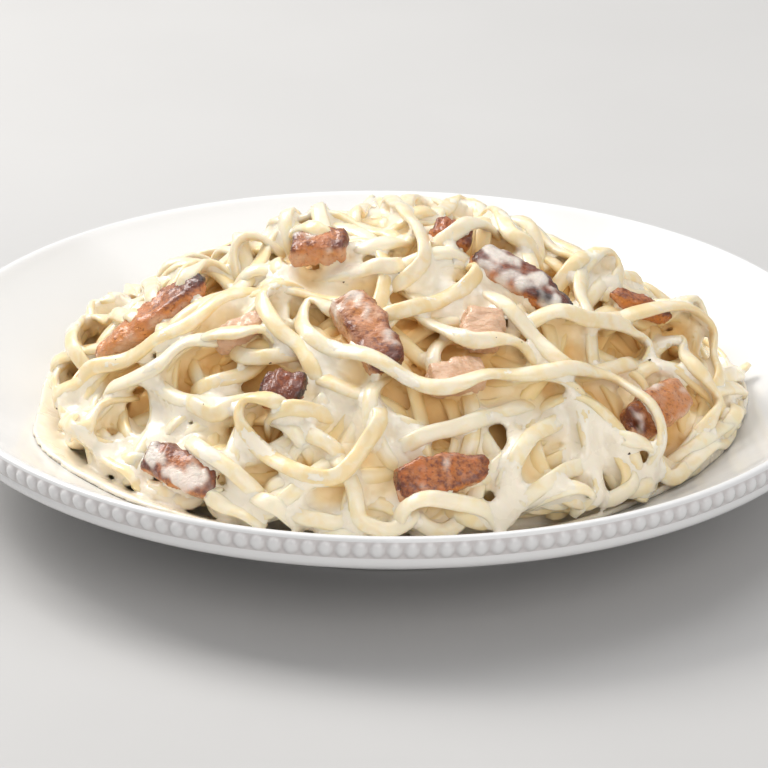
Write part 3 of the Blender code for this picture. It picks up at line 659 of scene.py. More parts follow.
# The noodles between those that show: each is the lowest of a few tries, and lies there if that
# is low enough.
FILL_NOODLES = 480
FILL_TRIES = 5
FILL_STARTS = 6
FILL_LENGTH = (60 * MM, 180 * MM)
FILL_BENDS = (11, 20, 35, 60, 90)
LONGEST_BEND = 45 * MM
FILL_LEVEL = -1.0 * MM
FILL_RADIUS = 123 * MM
FILL_SIDES = 8
SEEN_SIDES = 14
# The cells to each side over which the pile's top is smoothed before a pixel is looked up on it.
TOP_BLUR = 3
# A bare gap's radius as a share of what the photograph shows, its depth, and a pixel's real size.
HOLLOW_SHARE = 0.8
HOLLOW_DEPTH = 5.5 * MM
PIXEL = 0.307 * MM
# Half the depth of the space that a sight line is followed through, and the steps on it.
PILE_REACH = 0.15
PILE_STEP = 0.4 * MM
SEED = 11

# Where the photograph shows a bare and deep gap between noodles: pixel, and radius in pixels.
BARE_SPOTS = [((80, 420), 10), ((229, 399), 9), ((377, 232), 12), ((396, 271), 12), ((310, 301), 9),
              ((290, 315), 9), ((318, 324), 10), ((432, 317), 10), ((341, 430), 14), ((419, 407), 12),
              ((501, 373), 8), ((302, 356), 8), ((388, 469), 11), ((340, 485), 8), ((300, 460), 9),
              ((440, 524), 18), ((258, 485), 8), ((620, 415), 9), ((690, 420), 10), ((540, 450), 8)]

# Noodles that the photograph shows, undermost first: points along each in its pixels.
SEEN_NOODLES = [
    [(163, 289), (184, 278), (212, 270), (240, 270)],
    [(229, 275), (235, 253), (262, 243), (285, 250)],
    [(73, 354), (80, 338), (92, 322), (112, 317)],
    [(91, 330), (97, 307), (114, 293), (139, 293), (154, 306)],
    [(82, 370), (85, 343), (98, 325), (122, 319), (142, 322)],
    [(396, 216), (413, 205), (440, 203), (456, 212)],
    [(582, 266), (594, 256), (606, 263), (614, 280), (608, 294)],
    [(667, 312), (688, 303), (705, 308), (707, 321), (692, 332)],
    [(712, 384), (735, 379), (757, 381)],
    [(72, 466), (101, 474), (127, 480), (150, 492)],
    [(70, 452), (98, 448), (124, 447)],
    [(272, 250), (278, 270), (297, 281)],
    [(290, 229), (318, 228), (347, 234)],
    [(352, 246), (380, 247), (404, 241), (418, 232)],
    [(348, 270), (372, 274), (396, 266), (415, 250)],
    [(131, 391), (111, 404), (101, 422), (90, 437), (74, 444), (66, 430), (66, 412)],
    [(480, 294), (505, 315), (530, 350), (560, 366), (590, 380)],
    [(565, 406), (551, 428), (528, 440), (513, 465), (500, 490)],
    [(243, 504), (257, 499), (277, 509), (297, 520)],
    [(219, 482), (212, 498), (218, 513), (238, 524), (266, 528)],
    [(520, 508), (543, 496), (570, 491), (588, 500), (573, 515)],
    [(500, 528), (510, 512), (532, 493), (560, 475), (598, 462)],
    [(397, 526), (404, 510), (426, 500), (458, 504), (486, 514), (503, 530)],
    [(671, 466), (694, 448), (716, 432), (731, 436), (731, 449), (704, 463), (676, 472)],
    [(708, 394), (725, 393), (734, 408), (736, 424), (722, 434)],
    [(608, 321), (640, 318), (672, 325), (700, 345), (714, 375), (720, 395)],
    [(643, 354), (664, 354), (684, 366), (701, 388), (707, 412), (700, 438)],
    [(522, 321), (545, 321), (580, 331), (615, 341), (641, 352), (653, 368)],
    [(602, 421), (622, 438), (641, 458), (655, 484)],
    [(144, 376), (165, 364), (200, 352), (240, 338), (270, 337), (290, 352)],
    [(96, 396), (126, 388), (156, 374), (188, 353), (216, 330)],
    [(73, 384), (106, 374), (150, 356), (190, 333), (224, 304), (262, 278)],
    [(178, 395), (197, 409), (219, 420), (234, 406), (258, 390)],
    [(180, 435), (205, 452), (232, 470), (258, 496)],
    [(385, 446), (408, 446), (434, 438), (470, 424), (512, 412), (545, 396)],
    [(385, 408), (393, 423), (408, 429), (430, 430)],
    [(293, 424), (314, 438), (334, 449), (343, 462)],
    [(266, 436), (268, 421), (284, 412), (303, 413), (322, 413), (338, 409)],
    [(305, 281), (276, 291), (267, 312), (280, 335), (303, 352), (321, 392)],
    [(380, 315), (408, 323), (436, 338), (470, 350), (512, 355), (545, 362)],
    [(470, 258), (477, 273), (466, 293), (440, 309), (408, 316), (374, 306)],
    [(425, 247), (452, 238), (480, 231), (505, 228)],
    [(352, 222), (372, 211), (398, 214), (418, 234), (424, 260), (414, 281), (392, 290)],
    [(434, 216), (454, 202), (478, 206), (502, 226), (522, 246), (548, 268)],
    [(297, 408), (270, 400), (248, 407), (246, 430), (268, 457), (305, 475), (340, 477),
     (366, 452), (381, 420), (372, 392)],
    [(336, 303), (313, 309), (303, 327), (317, 346), (354, 361), (403, 389), (445, 396),
     (490, 385), (545, 376), (600, 381), (638, 400), (656, 433), (650, 474)],
]


def smooth_path(points, spacing):
    """A Catmull-Rom curve through points, read at an even spacing."""
    points = np.asarray(points, float)
    padded = np.vstack([2 * points[0] - points[1], points, 2 * points[-1] - points[-2]])
    share = np.linspace(0, 1, 16, endpoint=False)[:, None]
    curve = []
    for p0, p1, p2, p3 in zip(padded, padded[1:], padded[2:], padded[3:]):
        curve.append(0.5 * (2 * p1 + (p2 - p0) * share + (2 * p0 - 5 * p1 + 4 * p2 - p3) * share**2
                            + (3 * p1 - p0 - 3 * p2 + p3) * share**3))
    curve = np.vstack([*curve, points[-1:]])
    run = np.concatenate([[0], np.cumsum(np.linalg.norm(np.diff(curve, axis=0), axis=1))])
    steps = max(int(round(run[-1] / spacing)), 4)
    at = np.linspace(0, run[-1], steps + 1)
    return np.stack([np.interp(at, run, curve[:, k]) for k in range(curve.shape[1])], -1)


def eased(values, times):
    """Values smoothed along their first axis, with both ends kept."""
    values = values.copy()
    for _ in range(times):
        values[1:-1] = (values[:-2] + 2 * values[1:-1] + values[2:]) / 4
    return values


def blurred(field, reach):
    """A height map averaged over a square of 2 * reach + 1 cells."""
    for axis in (0, 1):
        padding = [(reach + 1, reach) if k == axis else (0, 0) for k in (0, 1)]
        total = np.cumsum(np.pad(field, padding, mode="edge"), axis=axis)
        size = field.shape[axis]
        high = np.take(total, range(2 * reach + 1, 2 * reach + 1 + size), axis=axis)
        low = np.take(total, range(size), axis=axis)
        field = (high - low) / (2 * reach + 1)
    return field


def heap_profile():
    """The mound from its top over its side and out over the plate: radius, height and normal.

    The line is read at every PROFILE_STEP of its length, with its corner on the plate rounded."""
    share = 1 - np.linspace(1, 0, 400) ** 2
    dome = MOUND_EDGE + (MOUND_TOP - SETTLED - MOUND_EDGE) * (1 - share**1.5) ** 0.6
    plate = well_height(share * HEAP_RADIUS) + POOL_DEPTH
    on_dome = dome > plate
    beyond = np.linspace(share[on_dome][-1] * HEAP_RADIUS, HEAP_RADIUS + 24 * MM, 60)[1:]
    radii = np.concatenate([share[on_dome] * HEAP_RADIUS, beyond])
    heights = np.concatenate([dome[on_dome], well_height(beyond) + POOL_DEPTH])
    run = np.concatenate([[0], np.cumsum(np.hypot(np.diff(radii), np.diff(heights)))])
    at = np.arange(0, run[-1], PROFILE_STEP)
    line = np.column_stack([np.interp(at, run, radii), np.interp(at, run, heights)])
    line = eased(line, 90)
    ahead = eased(np.gradient(line, axis=0), 120)
    ahead /= np.linalg.norm(ahead, axis=1, keepdims=True)
    return at, line, np.column_stack([-ahead[:, 1], ahead[:, 0]])


profile_run, profile_line, profile_normal = heap_profile()


class Pile:
    """The top of what has been laid so far, as a rise over the heap's mean surface.

    The heap's skin is spread flat for this: a point's distance from the middle of the sheet is
    its distance from the top along the profile, so the steep sides have their full area."""

    def __init__(self):
        axis = np.linspace(-HALF_SPAN, HALF_SPAN, CELLS)
        self.u, self.v = np.meshgrid(axis, axis, indexing="ij")
        reach = range(-3, 4)
        self.near = [(i, j) for i in reach for j in reach if math.hypot(i, j) * CELL <= NOODLE_REACH]
        lumps = 1.2 * np.sin(self.u / (15 * MM) + 1.0) * np.cos(self.v / (17 * MM) - 0.6)
        sheet = np.column_stack([self.u.ravel(), self.v.ravel()])
        points, normals = self.in_space(sheet, np.zeros(len(sheet)))
        self.dip = (far_dip(points[:, 1], points[:, 2]) * normals[:, 2]).reshape(self.u.shape)
        rise = -CORE_DEPTH - self.dip.ravel()
        self.floor = (rise + self.lifted(sheet, rise, PLATE_CLEARANCE)).reshape(self.u.shape)
        self.rise = np.maximum(self.floor, -CORE_DEPTH + lumps * MM - self.dip)
        self.lid = np.full_like(self.rise, NO_LID)

    def in_space(self, sheet, rise):
        """The points in space over points of the sheet, and the heap's outward direction there."""
        away = np.hypot(sheet[:, 0], sheet[:, 1])
        across = sheet / np.maximum(away, 1e-9)[:, None]
        radius, height, out, up = (np.interp(away, profile_run, column)
                                   for column in (*profile_line.T, *profile_normal.T))
        plan = across * (radius + out * rise)[:, None] + MOUND_CENTRE
        return np.column_stack([plan, height + up * rise]), np.column_stack([across * out[:, None], up])

    def lifted(self, sheet, rise, clear):
        """How much further out points must lie to be clear over the plate and its pool."""
        points, normals = self.in_space(sheet, rise)
        lift = 0
        for _ in range(3):
            across = np.hypot(points[:, 0], points[:, 1])
            wet = np.clip((POOL_RADIUS - across) / (6 * MM), 0, 1)
            floor = well_height(across) + POOL_DEPTH * wet + clear
            more = np.maximum(floor - points[:, 2], 0) / np.maximum(normals[:, 2], 0.35)
            lift = lift + more
            points = points + normals * more[:, None]
        return lift

    def on_sheet(self, points):
        """The sheet's points under points in space, and their rises."""
        plan = points[:, :2] - MOUND_CENTRE
        radius = np.hypot(plan[:, 0], plan[:, 1])
        here = np.column_stack([radius, points[:, 2]])
        apart = ((here[:, None, :] - profile_line[None, ::2, :]) ** 2).sum(axis=2)
        k = 2 * apart.argmin(axis=1)
        rise = ((here - profile_line[k]) * profile_normal[k]).sum(axis=1)
        along = here - profile_line[k]
        run = profile_run[k] + along[:, 0] * profile_normal[k, 1] - along[:, 1] * profile_normal[k, 0]
        return plan / np.maximum(radius, 1e-9)[:, None] * np.maximum(run, 0)[:, None], rise

    def cells(self, sheet):
        at = np.clip(np.round((sheet + HALF_SPAN) / CELL).astype(int), 4, CELLS - 5)
        return at[:, 0], at[:, 1]

    def around(self, sheet, field, choose):
        i, j = self.cells(sheet)
        return choose([field[i + di, j + dj] for di, dj in self.near], axis=0)

    def keep_under(self, points):
        """Makes room for a piece that will lie on top: what comes before it stays below it."""
        sheet, rise = self.on_sheet(points)
        low = rise < rise.mean()
        np.minimum.at(self.lid, self.cells(sheet[low]), rise[low])

    def keep_open(self, pixel, radius):
        """Keeps the hollow open that the photograph shows at a pixel."""
        sheet, _ = self.behind(pixel, np.zeros_like(self.rise))
        hollow = np.hypot(self.u - sheet[0], self.v - sheet[1]) < radius * PIXEL * HOLLOW_SHARE
        self.lid[hollow] = np.minimum(self.lid[hollow], -HOLLOW_DEPTH)

    def cover(self, points):
        """Puts a piece's points on the pile, and lifts the lid over them."""
        sheet, rise = self.on_sheet(points)
        cells = self.cells(sheet)
        np.maximum.at(self.rise, cells, rise)
        self.lid[cells] = NO_LID

    def lay(self, sheet, half_height):
        """Rests a noodle on the pile along its path on the sheet, with its ends tucked in.

        Gives its centreline in space and the heap's outward direction along it."""
        rest = eased(self.around(sheet, self.rise, np.max), 2) + half_height
        lid = self.around(sheet, self.lid, np.min) - half_height
        floor = self.around(sheet, self.floor, np.max) + half_height
        rest = np.maximum(np.minimum(rest, lid), floor)
        rise = rest.copy()
        for _ in range(SAG_PASSES):
            rise[1:-1] = np.maximum(rest[1:-1], (rise[:-2] + rise[2:]) / 2 - SAG)
        steps = np.arange(len(rise))
        from_end = np.minimum(steps, steps[::-1]) / TUCK_STATIONS
        rise = np.maximum(rise - TUCK * np.clip(1 - from_end, 0, 1) ** 1.5, floor)
        rise = eased(rise, 4)
        i, j = self.cells(sheet)
        for di, dj in self.near:
            fall = 1 - 0.45 * (math.hypot(di, dj) * CELL / NOODLE_REACH) ** 2
            np.maximum.at(self.rise, (i + di, j + dj), rise + half_height * fall)
        rise = rise + eased(self.lifted(sheet, rise, NOODLE_THICKNESS / 2), 3)
        return self.in_space(sheet, rise)

    def behind(self, pixel, field):
        """The sheet's point that shows at a pixel, where field is the rise, and the point in space."""
        eye, towards = sight_line(pixel)
        along = np.arange(CAMERA_DISTANCE - PILE_REACH, CAMERA_DISTANCE + PILE_REACH, PILE_STEP)
        points = np.array(eye) + along[:, None] * np.array(towards)
        sheet, rise = self.on_sheet(points)
        above = rise - field[self.cells(sheet)]
        run = np.hypot(sheet[:, 0], sheet[:, 1])
        above = np.where(run > LAST_RUN, NO_LID + run, above)
        below = np.nonzero(above < 0)[0]
        k = below[0] if len(below) else int(np.argmin(above))
        return sheet[k], points[k]


def wandering_path(pile, rng):
    """A loose curve over the sheet: it starts in a hollow, follows the heap round and curls."""
    length = rng.uniform(*FILL_LENGTH)
    starts = []
    for _ in range(FILL_STARTS):
        bearing = rng.uniform(0, 2 * math.pi)
        away = FILL_RADIUS * math.sqrt(rng.uniform(0.0, 1.0))
        u, v = away * math.cos(bearing), away * math.sin(bearing)
        i, j = pile.cells(np.array([[u, v]]))
        starts.append((float(pile.rise[i[0], j[0]]), u, v, bearing))
    _, u, v, bearing = min(starts)
    heading = bearing + rng.choice((-1, 1)) * (math.pi / 2 + rng.gauss(0, 0.6))
    bend, wanted, until, travelled = 0.0, 0.0, 0.0, 0.0
    points = [(u, v)]
    while travelled < length:
        if travelled >= until:
            radius = rng.choice(FILL_BENDS) * MM
            wanted = rng.choice((-1, 1)) / radius
            until = travelled + min(rng.uniform(0.8, 2.2) * radius, LONGEST_BEND)
        bend += (wanted - bend) * 0.3
        out = math.atan2(v, u)
        if math.hypot(u, v) > FILL_RADIUS - 5 * MM and math.cos(heading - out) > -0.1:
            bend = math.copysign(1 / TIGHTEST_BEND, math.sin(heading - out))
        heading += bend * STATION
        u, v = u + STATION * math.cos(heading), v + STATION * math.sin(heading)
        travelled += STATION
        points.append((u, v))
    return eased(np.array(points), 2)


def turning(plan):
    """How sharply a path bends, from 0 for straight to 1 or -1 for the tightest bend."""
    heading = np.unwrap(np.arctan2(*np.gradient(plan, axis=0).T[::-1]))
    step = np.maximum(np.linalg.norm(np.gradient(plan, axis=0), axis=1), 1e-6)
    return np.clip(eased(np.gradient(heading) / step * TIGHTEST_BEND, 6), -1, 1)


noodles = []


def add_noodle(pile, sheet, rng):
    """Lays a noodle and keeps its line, how it is rolled along its length, and its tint."""
    bend = turning(sheet)
    lean = rng.uniform(-LEAN, LEAN)
    run = np.arange(len(sheet)) * STATION
    lean = lean + SWAY * np.sin(run / SWAY_LENGTH + rng.uniform(0, 6))
    roll = BEND_ROLL * bend + lean * (1 - np.abs(bend))
    on_edge = np.abs(np.sin(roll))
    half_height = eased(NOODLE_THICKNESS + (NOODLE_WIDTH - NOODLE_THICKNESS) * on_edge, 3) / 2
    noodles.append((*pile.lay(sheet, half_height), roll, rng.random()))


rng = random.Random(SEED)
pile = Pile()
for flat, *_ in chicken_shapes.values():
    pile.keep_under(flat)
for pixel, radius in BARE_SPOTS:
    pile.keep_open(pixel, radius)
for _ in range(FILL_NOODLES):
    tries = [wandering_path(pile, rng) for _ in range(FILL_TRIES)]
    level = pile.rise + pile.dip
    rises = [np.clip(level[pile.cells(sheet)], -5 * MM, 5 * MM).mean() for sheet in tries]
    best = int(np.argmin(rises))
    if rises[best] < FILL_LEVEL:
        add_noodle(pile, tries[best], rng)
fill_count = len(noodles)
for flat, *_ in chicken_shapes.values():
    pile.cover(flat)
for pixels in SEEN_NOODLES:
    top = blurred(pile.rise, TOP_BLUR) + NOODLE_THICKNESS / 2
    sheet = [pile.behind(pixel, top)[0] for pixel in pixels]
    add_noodle(pile, smooth_path(sheet, STATION), rng)


def noodle_skin(line, out, roll, sides):
    """A noodle's skin: a rounded ribbon, with its points ring by ring and its ends drawn in."""
    ahead = np.gradient(line, axis=0)
    ahead /= np.linalg.norm(ahead, axis=1, keepdims=True)
    side = np.cross(out, ahead)
    side /= np.linalg.norm(side, axis=1, keepdims=True)
    out = np.cross(ahead, side)
    wide = side * np.cos(roll)[:, None] + out * np.sin(roll)[:, None]
    thin = out * np.cos(roll)[:, None] - side * np.sin(roll)[:, None]
    steps = np.arange(len(line))
    from_end = np.minimum(steps, steps[::-1])
    size = np.interp(from_end, (0, 1, 2), END_SIZES)
    angle = 2 * math.pi * np.arange(sides) / sides
    c, s = np.cos(angle), np.sin(angle)
    power = NOODLE_SQUARENESS
    square = (np.abs(c) ** power + np.abs(s) ** power) ** (-1 / power)
    across = (c * square * NOODLE_WIDTH / 2)[None, :, None] * size[:, None, None]
    up = (s * square * NOODLE_THICKNESS / 2)[None, :, None] * size[:, None, None]
    return line[:, None, :] + across * wide[:, None, :] + up * thin[:, None, :]


def joined_noodles(chosen, sides):
    """All points and faces of many noodles as one mesh, and each point's tint."""
    points, faces, tints, start = [], [], [], 0
    for line, out, roll, tint in chosen:
        skin = noodle_skin(line, out, roll, sides)
        rings = len(skin)
        points.append(skin.reshape(-1, 3))
        faces += ring_faces(start, rings, sides).tolist()
        faces.append([start + j for j in reversed(range(sides))])
        faces.append([start + (rings - 1) * sides + j for j in range(sides)])
        tints.append(np.full(rings * sides, tint))
        start += rings * sides
    return np.vstack(points), faces, np.concatenate(tints)


# The gaps between the noodles are measured on a grid of distances to all that lies in the heap.
VOXEL = 0.9 * MM
GRID_LOW = (-135 * MM, -125 * MM, 6 * MM)
GRID_HIGH = (135 * MM, 125 * MM, 98 * MM)
LOW_CELL = tuple(int(round(v / VOXEL)) for v in GRID_LOW)
SHAPE = tuple(int(round((h - l) / VOXEL)) for l, h in zip(GRID_LOW, GRID_HIGH))
# How far the distances reach, and the radius of a ball that could roll over the heap: what the
# ball would touch is the heap's open surface.
GAP_REACH = 11 * MM
ENVELOPE_BALL = 9 * MM
# How deep under that surface the painted shade of the gaps begins, and where it is darkest.
SHADE_DEPTHS = (2.2 * MM, 10.2 * MM)


def triangles_of(faces):
    """A fan of triangles for each face, as the distance grid takes."""
    return np.array([(f[0], f[k], f[k + 1]) for f in faces for k in range(1, len(f) - 1)], np.uint32)


def distances(points, triangles, reach):
    """Signed distances to a mesh on the grid, cut off at reach."""
    transform = openvdb.createLinearTransform(voxelSize=VOXEL)
    grid = openvdb.FloatGrid.createLevelSetFromPolygons(
        np.ascontiguousarray(points, np.float32), triangles=np.ascontiguousarray(triangles, np.uint32),
        transform=transform, halfWidth=reach / VOXEL)
    values = np.empty(SHAPE, np.float32)
    grid.copyToArray(values, ijk=LOW_CELL)
    return values


def skin_of(values, background, adaptivity=0.0):
    """The surface where a grid's values cross 0, as points, triangles and quads."""
    grid = openvdb.FloatGrid(background)
    grid.copyFromArray(np.ascontiguousarray(values, np.float32), ijk=LOW_CELL)
    grid.transform = openvdb.createLinearTransform(voxelSize=VOXEL)
    return grid.convertToPolygons(isovalue=0.0, adaptivity=adaptivity)


def split_quads(triangles, quads):
    """A grid skin's triangles and quads as triangles alone."""
    parts = [quads[:, (0, 1, 2)], quads[:, (0, 2, 3)]]
    if len(triangles):
        parts.append(triangles)
    return np.vstack(parts)


def read_grid(values, points):
    """The grid's value at each point, between its voxels."""
    at = points / VOXEL - np.array(LOW_CELL)
    base = np.clip(np.floor(at).astype(int), 0, np.array(SHAPE) - 2)
    part = np.clip(at - base, 0, 1)
    total = 0
    for corner in np.ndindex(2, 2, 2):
        weight = np.prod(np.where(corner, part, 1 - part), axis=1)
        i, j, k = (base + corner).T
        total = total + weight * values[i, j, k]
    return total


def core_mesh():
    """The heap's inside, under the noodles that are modelled one by one."""
    steps, rings = 120, 70
    away = np.linspace(0.02, 1, rings)[:, None] * CORE_RUN
    bearings = 2 * math.pi * np.arange(steps) / steps
    sheet = np.stack([away * np.cos(bearings), away * np.sin(bearings)], -1).reshape(-1, 2)
    upper, _ = pile.in_space(sheet, -CORE_DEPTH - pile.dip[pile.cells(sheet)])
    base = well_height(np.hypot(upper[:, 0], upper[:, 1])) + PLATE_CLEARANCE
    upper[:, 2] = np.maximum(upper[:, 2], base + POOL_DEPTH)
    lower = np.column_stack([upper[:, :2], base]).reshape(rings, steps, 3)[::-1]
    points = np.concatenate([upper, lower.reshape(-1, 3)])
    faces = ring_faces(0, 2 * rings, steps).tolist()
    faces.append(list(range(steps))[::-1])
    faces.append([len(points) - steps + k for k in range(steps)])
    return points, faces


fill_points, fill_faces, fill_tints = joined_noodles(noodles[:fill_count], FILL_SIDES)
seen_points, seen_faces, seen_tints = joined_noodles(noodles[fill_count:], SEEN_SIDES)

solid_points, solid_triangles, start = [], [], 0
meshes = [core_mesh(), (fill_points, fill_faces), (seen_points, seen_faces)]
meshes += [(flat, faces) for flat, faces, *_ in chicken_shapes.values()]
for points, faces in meshes:
    solid_points.append(points)
    solid_triangles.append(triangles_of(faces) + start)
    start += len(points)
solid_points = np.vstack(solid_points)
solid_triangles = np.vstack(solid_triangles)
away = distances(solid_points, solid_triangles, GAP_REACH)
swollen, triangles, quads = skin_of(away - ENVELOPE_BALL, ENVELOPE_BALL)
envelope = distances(swollen, split_quads(triangles, quads), ENVELOPE_BALL + GAP_REACH) + ENVELOPE_BALL


def depth_of(points):
    """How deep points lie in the gaps, from 0 near the heap's open surface to 1 in the deepest."""
    return np.clip((-read_grid(envelope, points) - SHADE_DEPTHS[0]) / (SHADE_DEPTHS[1] - SHADE_DEPTHS[0]), 0, 1)


boiled = Finish("boiled_noodle")
deep, tint = boiled.painted("deep"), boiled.painted("tint")
cloud = boiled.speckle(140, 3)
coat = boiled.speckle(230, 3, distortion=0.4)
dough = boiled.mix(tint, (0.86, 0.66, 0.34), (0.88, 0.74, 0.46))
dough = boiled.mix(cloud.step(0.35, 0.75) * 0.6, dough, (0.88, 0.76, 0.52))
dough = boiled.mix((coat + 0.25 * tint).step(0.45, 0.75) * 0.7, dough, (0.90, 0.82, 0.66))
# Painted shade in the gaps: deeper down, the dough is painted darker and more amber, for shade and the warm
# light bounced between noodles.
dough = boiled.mix(deep.step(0.0, 0.45) * 0.8, dough, (0.89, 0.67, 0.32))
dough = boiled.mix(deep.step(0.3, 0.9), dough, (0.82, 0.50, 0.17))
boiled.wear(Base_Color=dough, Roughness=0.24 + 0.2 * coat + 0.35 * deep,
            Coat_Weight=0.35 * (1 - deep), Coat_Roughness=0.1,
            Subsurface_Weight=0.3, Subsurface_Scale=2.0 * MM, Subsurface_Radius=(1.0, 0.65, 0.3),
            Normal=boiled.bump(coat, 0.25 * MM))
for name, points, faces, tints in (("inner_noodles", fill_points, fill_faces, fill_tints),
                                   ("top_noodles", seen_points, seen_faces, seen_tints)):
    paint = {"deep": depth_of(points), "tint": tints}
    piece = add_mesh(name, points, faces, boiled, "pasta", paint)
    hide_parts("pasta")


# The sauce: cream, butter and cheese, thick enough to bridge the gaps between the noodles.
# The gaps are closed on the grid and the skin is then drawn back, so that webs and films stay.

# How far the sauce reaches out from what it coats before it is drawn back, how much that varies,
# and how much more it is in a lake of sauce.
BRIDGE = 1.15 * MM
BRIDGE_VARIES = 0.8 * MM
LAKE_BRIDGE = 2.0 * MM
NARROWEST_BRIDGE = 0.5 * MM
WIDEST_BRIDGE = 4.5 * MM
# How far the skin is drawn back, how much that varies, how much less it is in a lake of sauce,
# how much more in a bare gap, and how far it is drawn back at the meat.
DRAWN_BACK = 0.35 * MM
DRAWN_VARIES = 0.45 * MM
LAKE_FILM = 0.8 * MM
BARE_DRAWN = 0.3 * MM
BARE_MEAT = 1.0 * MM
# Sauce fills everything from this depth down.
DEEPEST_GAP = 9 * MM
# The fillet where the heap's sauce runs into the pool on the plate.
POOL_FILLET = 2.5 * MM
# How many waves are added up where the sauce varies, and what brings their sum to about 1.
WAVES = 7
WAVE_SPAN = 2.6
# How far round a piece of chicken the sauce is drawn back.
MEAT_MARGIN = 1 * MM
# The most triangles in the sauce's mesh, and the fewest in a bit of it that is kept.
SAUCE_TRIANGLES = 185000
CRUMB_FACES = 60
# Where the photograph shows a lake of sauce: pixel, and radius in pixels.
SAUCE_SPOTS = [((330, 278), 34), ((350, 400), 30), ((366, 415), 18), ((340, 505), 36), ((600, 440), 28),
               ((455, 290), 26), ((230, 380), 26), ((130, 460), 34), ((70, 420), 28), ((520, 470), 28),
               ((160, 440), 26), ((400, 480), 20), ((560, 410), 20), ((285, 400), 14)]
axes = [(np.arange(n) + low) * VOXEL for n, low in zip(SHAPE, LOW_CELL)]
grid_x, grid_y, grid_z = (a.reshape([-1 if k == i else 1 for k in range(3)]) for i, a in enumerate(axes))


def thinned(points, triangles, most):
    """The same skin with no more than a given number of triangles."""
    mesh = bpy.data.meshes.new("thinned")
    mesh.from_pydata(points.tolist(), [], triangles.tolist())
    body = bpy.data.objects.new("thinned", mesh)
    bpy.context.scene.collection.objects.link(body)
    modifier = body.modifiers.new("thinned", "DECIMATE")
    modifier.ratio = min(most / len(triangles), 1.0)
    result = body.evaluated_get(bpy.context.evaluated_depsgraph_get()).to_mesh()
    points = np.empty(3 * len(result.vertices), np.float32)
    result.vertices.foreach_get("co", points)
    faces = np.array([tuple(face.vertices) for face in result.polygons])
    bpy.data.objects.remove(body)
    bpy.data.meshes.remove(mesh)
    return points.reshape(-1, 3), faces


def without_crumbs(points, faces, least):
    """The same skin without its loose bits of fewer faces than given."""
    owner = np.arange(len(points))
    settled = False
    while not settled:
        lower = owner.copy()
        np.minimum.at(lower, faces.ravel(), np.repeat(owner[faces].min(axis=1), 3))
        lower = lower[lower]
        settled = np.array_equal(lower, owner)
        owner = lower
    bit = owner[faces[:, 0]]
    kept = faces[np.bincount(bit)[bit] >= least]
    used, kept = np.unique(kept, return_inverse=True)
    return points[used], kept.reshape(-1, 3).tolist()


def waves(scale, seed):
    """A smooth field of about -1 to 1 over the grid, with lumps of about the scale in size."""
    rng = random.Random(seed)
    total = 0
    for _ in range(WAVES):
        turn = rng.uniform(0, 2 * math.pi)
        pitch = rng.uniform(-0.5, 0.5)
        k = 2 * math.pi / (scale * rng.uniform(0.8, 1.6))
        phase = rng.uniform(0, 6.28)
        along = grid_x * math.cos(turn) + grid_y * math.sin(turn) + grid_z * pitch
        total = total + np.sin(k * along + phase)
    return total / WAVE_SPAN


def spots(places):
    """A field that is 1 at the heap's surface behind each pixel, and fades round it."""
    field = np.zeros(SHAPE, np.float32)
    top = blurred(pile.rise, TOP_BLUR)
    for pixel, radius in places:
        x, y, z = pile.behind(pixel, top)[1]
        reach = radius * PIXEL
        away = (grid_x - x) ** 2 + (grid_y - y) ** 2 + (grid_z - z) ** 2
        np.maximum(field, np.exp(-away / reach**2), out=field)
    return field


def near_meat(place, size):
    """Where the grid lies round a piece of chicken, from 0 to 1."""
    turn = np.array(place.to_3x3())
    x, y, z = grid_x - place.translation.x, grid_y - place.translation.y, grid_z - place.translation.z
    along, across, out = (x * turn[0, k] + y * turn[1, k] + z * turn[2, k] for k in range(3))
    length, width, thickness = size
    norm = ((np.abs(along) / (length / 2 + MEAT_MARGIN)) ** 3
            + (np.abs(across) / (width / 2 + MEAT_MARGIN)) ** 3
            + (np.abs(out) / (thickness / 2 + MEAT_MARGIN)) ** 3) ** (1 / 3)
    return np.clip((1.25 - norm) / 0.2, 0, 1)


def pool_values():
    """Distances to the thin layer of sauce that has run out over the plate."""
    across = np.hypot(grid_x, grid_y)
    bearing = np.arctan2(grid_y, grid_x)
    edge = POOL_RADIUS + (3.5 * np.sin(2 * bearing + 0.7) + 2.0 * np.sin(5 * bearing + 2.1)
                          + 1.1 * np.sin(11 * bearing + 0.5)) * MM
    over = grid_z - well_height(across) - POOL_DEPTH - 0.3 * MM
    out = (across - edge) * 0.9
    return np.maximum(over, out + np.clip(over, -2 * MM, 0) * 0.35)


def blended(a, b, reach):
    """The union of two bodies of sauce, with a fillet where they meet."""
    share = np.clip(0.5 + 0.5 * (b - a) / reach, 0, 1)
    return b + (a - b) * share - reach * share * (1 - share)


sauce_here = spots(SAUCE_SPOTS)
bare_here = spots(BARE_SPOTS)
bridge = BRIDGE + BRIDGE_VARIES * waves(26 * MM, 3) + LAKE_BRIDGE * sauce_here - LAKE_BRIDGE * bare_here
bridge = np.clip(bridge, NARROWEST_BRIDGE, WIDEST_BRIDGE).astype(np.float32)
points, triangles, quads = skin_of(away - bridge, 5 * MM)
closed = distances(points, split_quads(triangles, quads), WIDEST_BRIDGE + 4 * VOXEL)
drawn_back = DRAWN_BACK + DRAWN_VARIES * waves(17 * MM, 5)
drawn_back = drawn_back - LAKE_FILM * sauce_here + BARE_DRAWN * bare_here
drawn_back = np.clip(drawn_back, -0.4 * MM, 0.9 * MM)
for _, _, place, size in chicken_shapes.values():
    drawn_back += near_meat(place, size) * (BARE_MEAT - drawn_back)
sauce = np.minimum(closed + bridge + drawn_back, envelope + DEEPEST_GAP)
sauce = blended(sauce, pool_values(), POOL_FILLET)
under = well_height(np.hypot(grid_x, grid_y)) + 0.05 * MM - grid_z
sauce = np.maximum(sauce, under * 0.9).astype(np.float32)
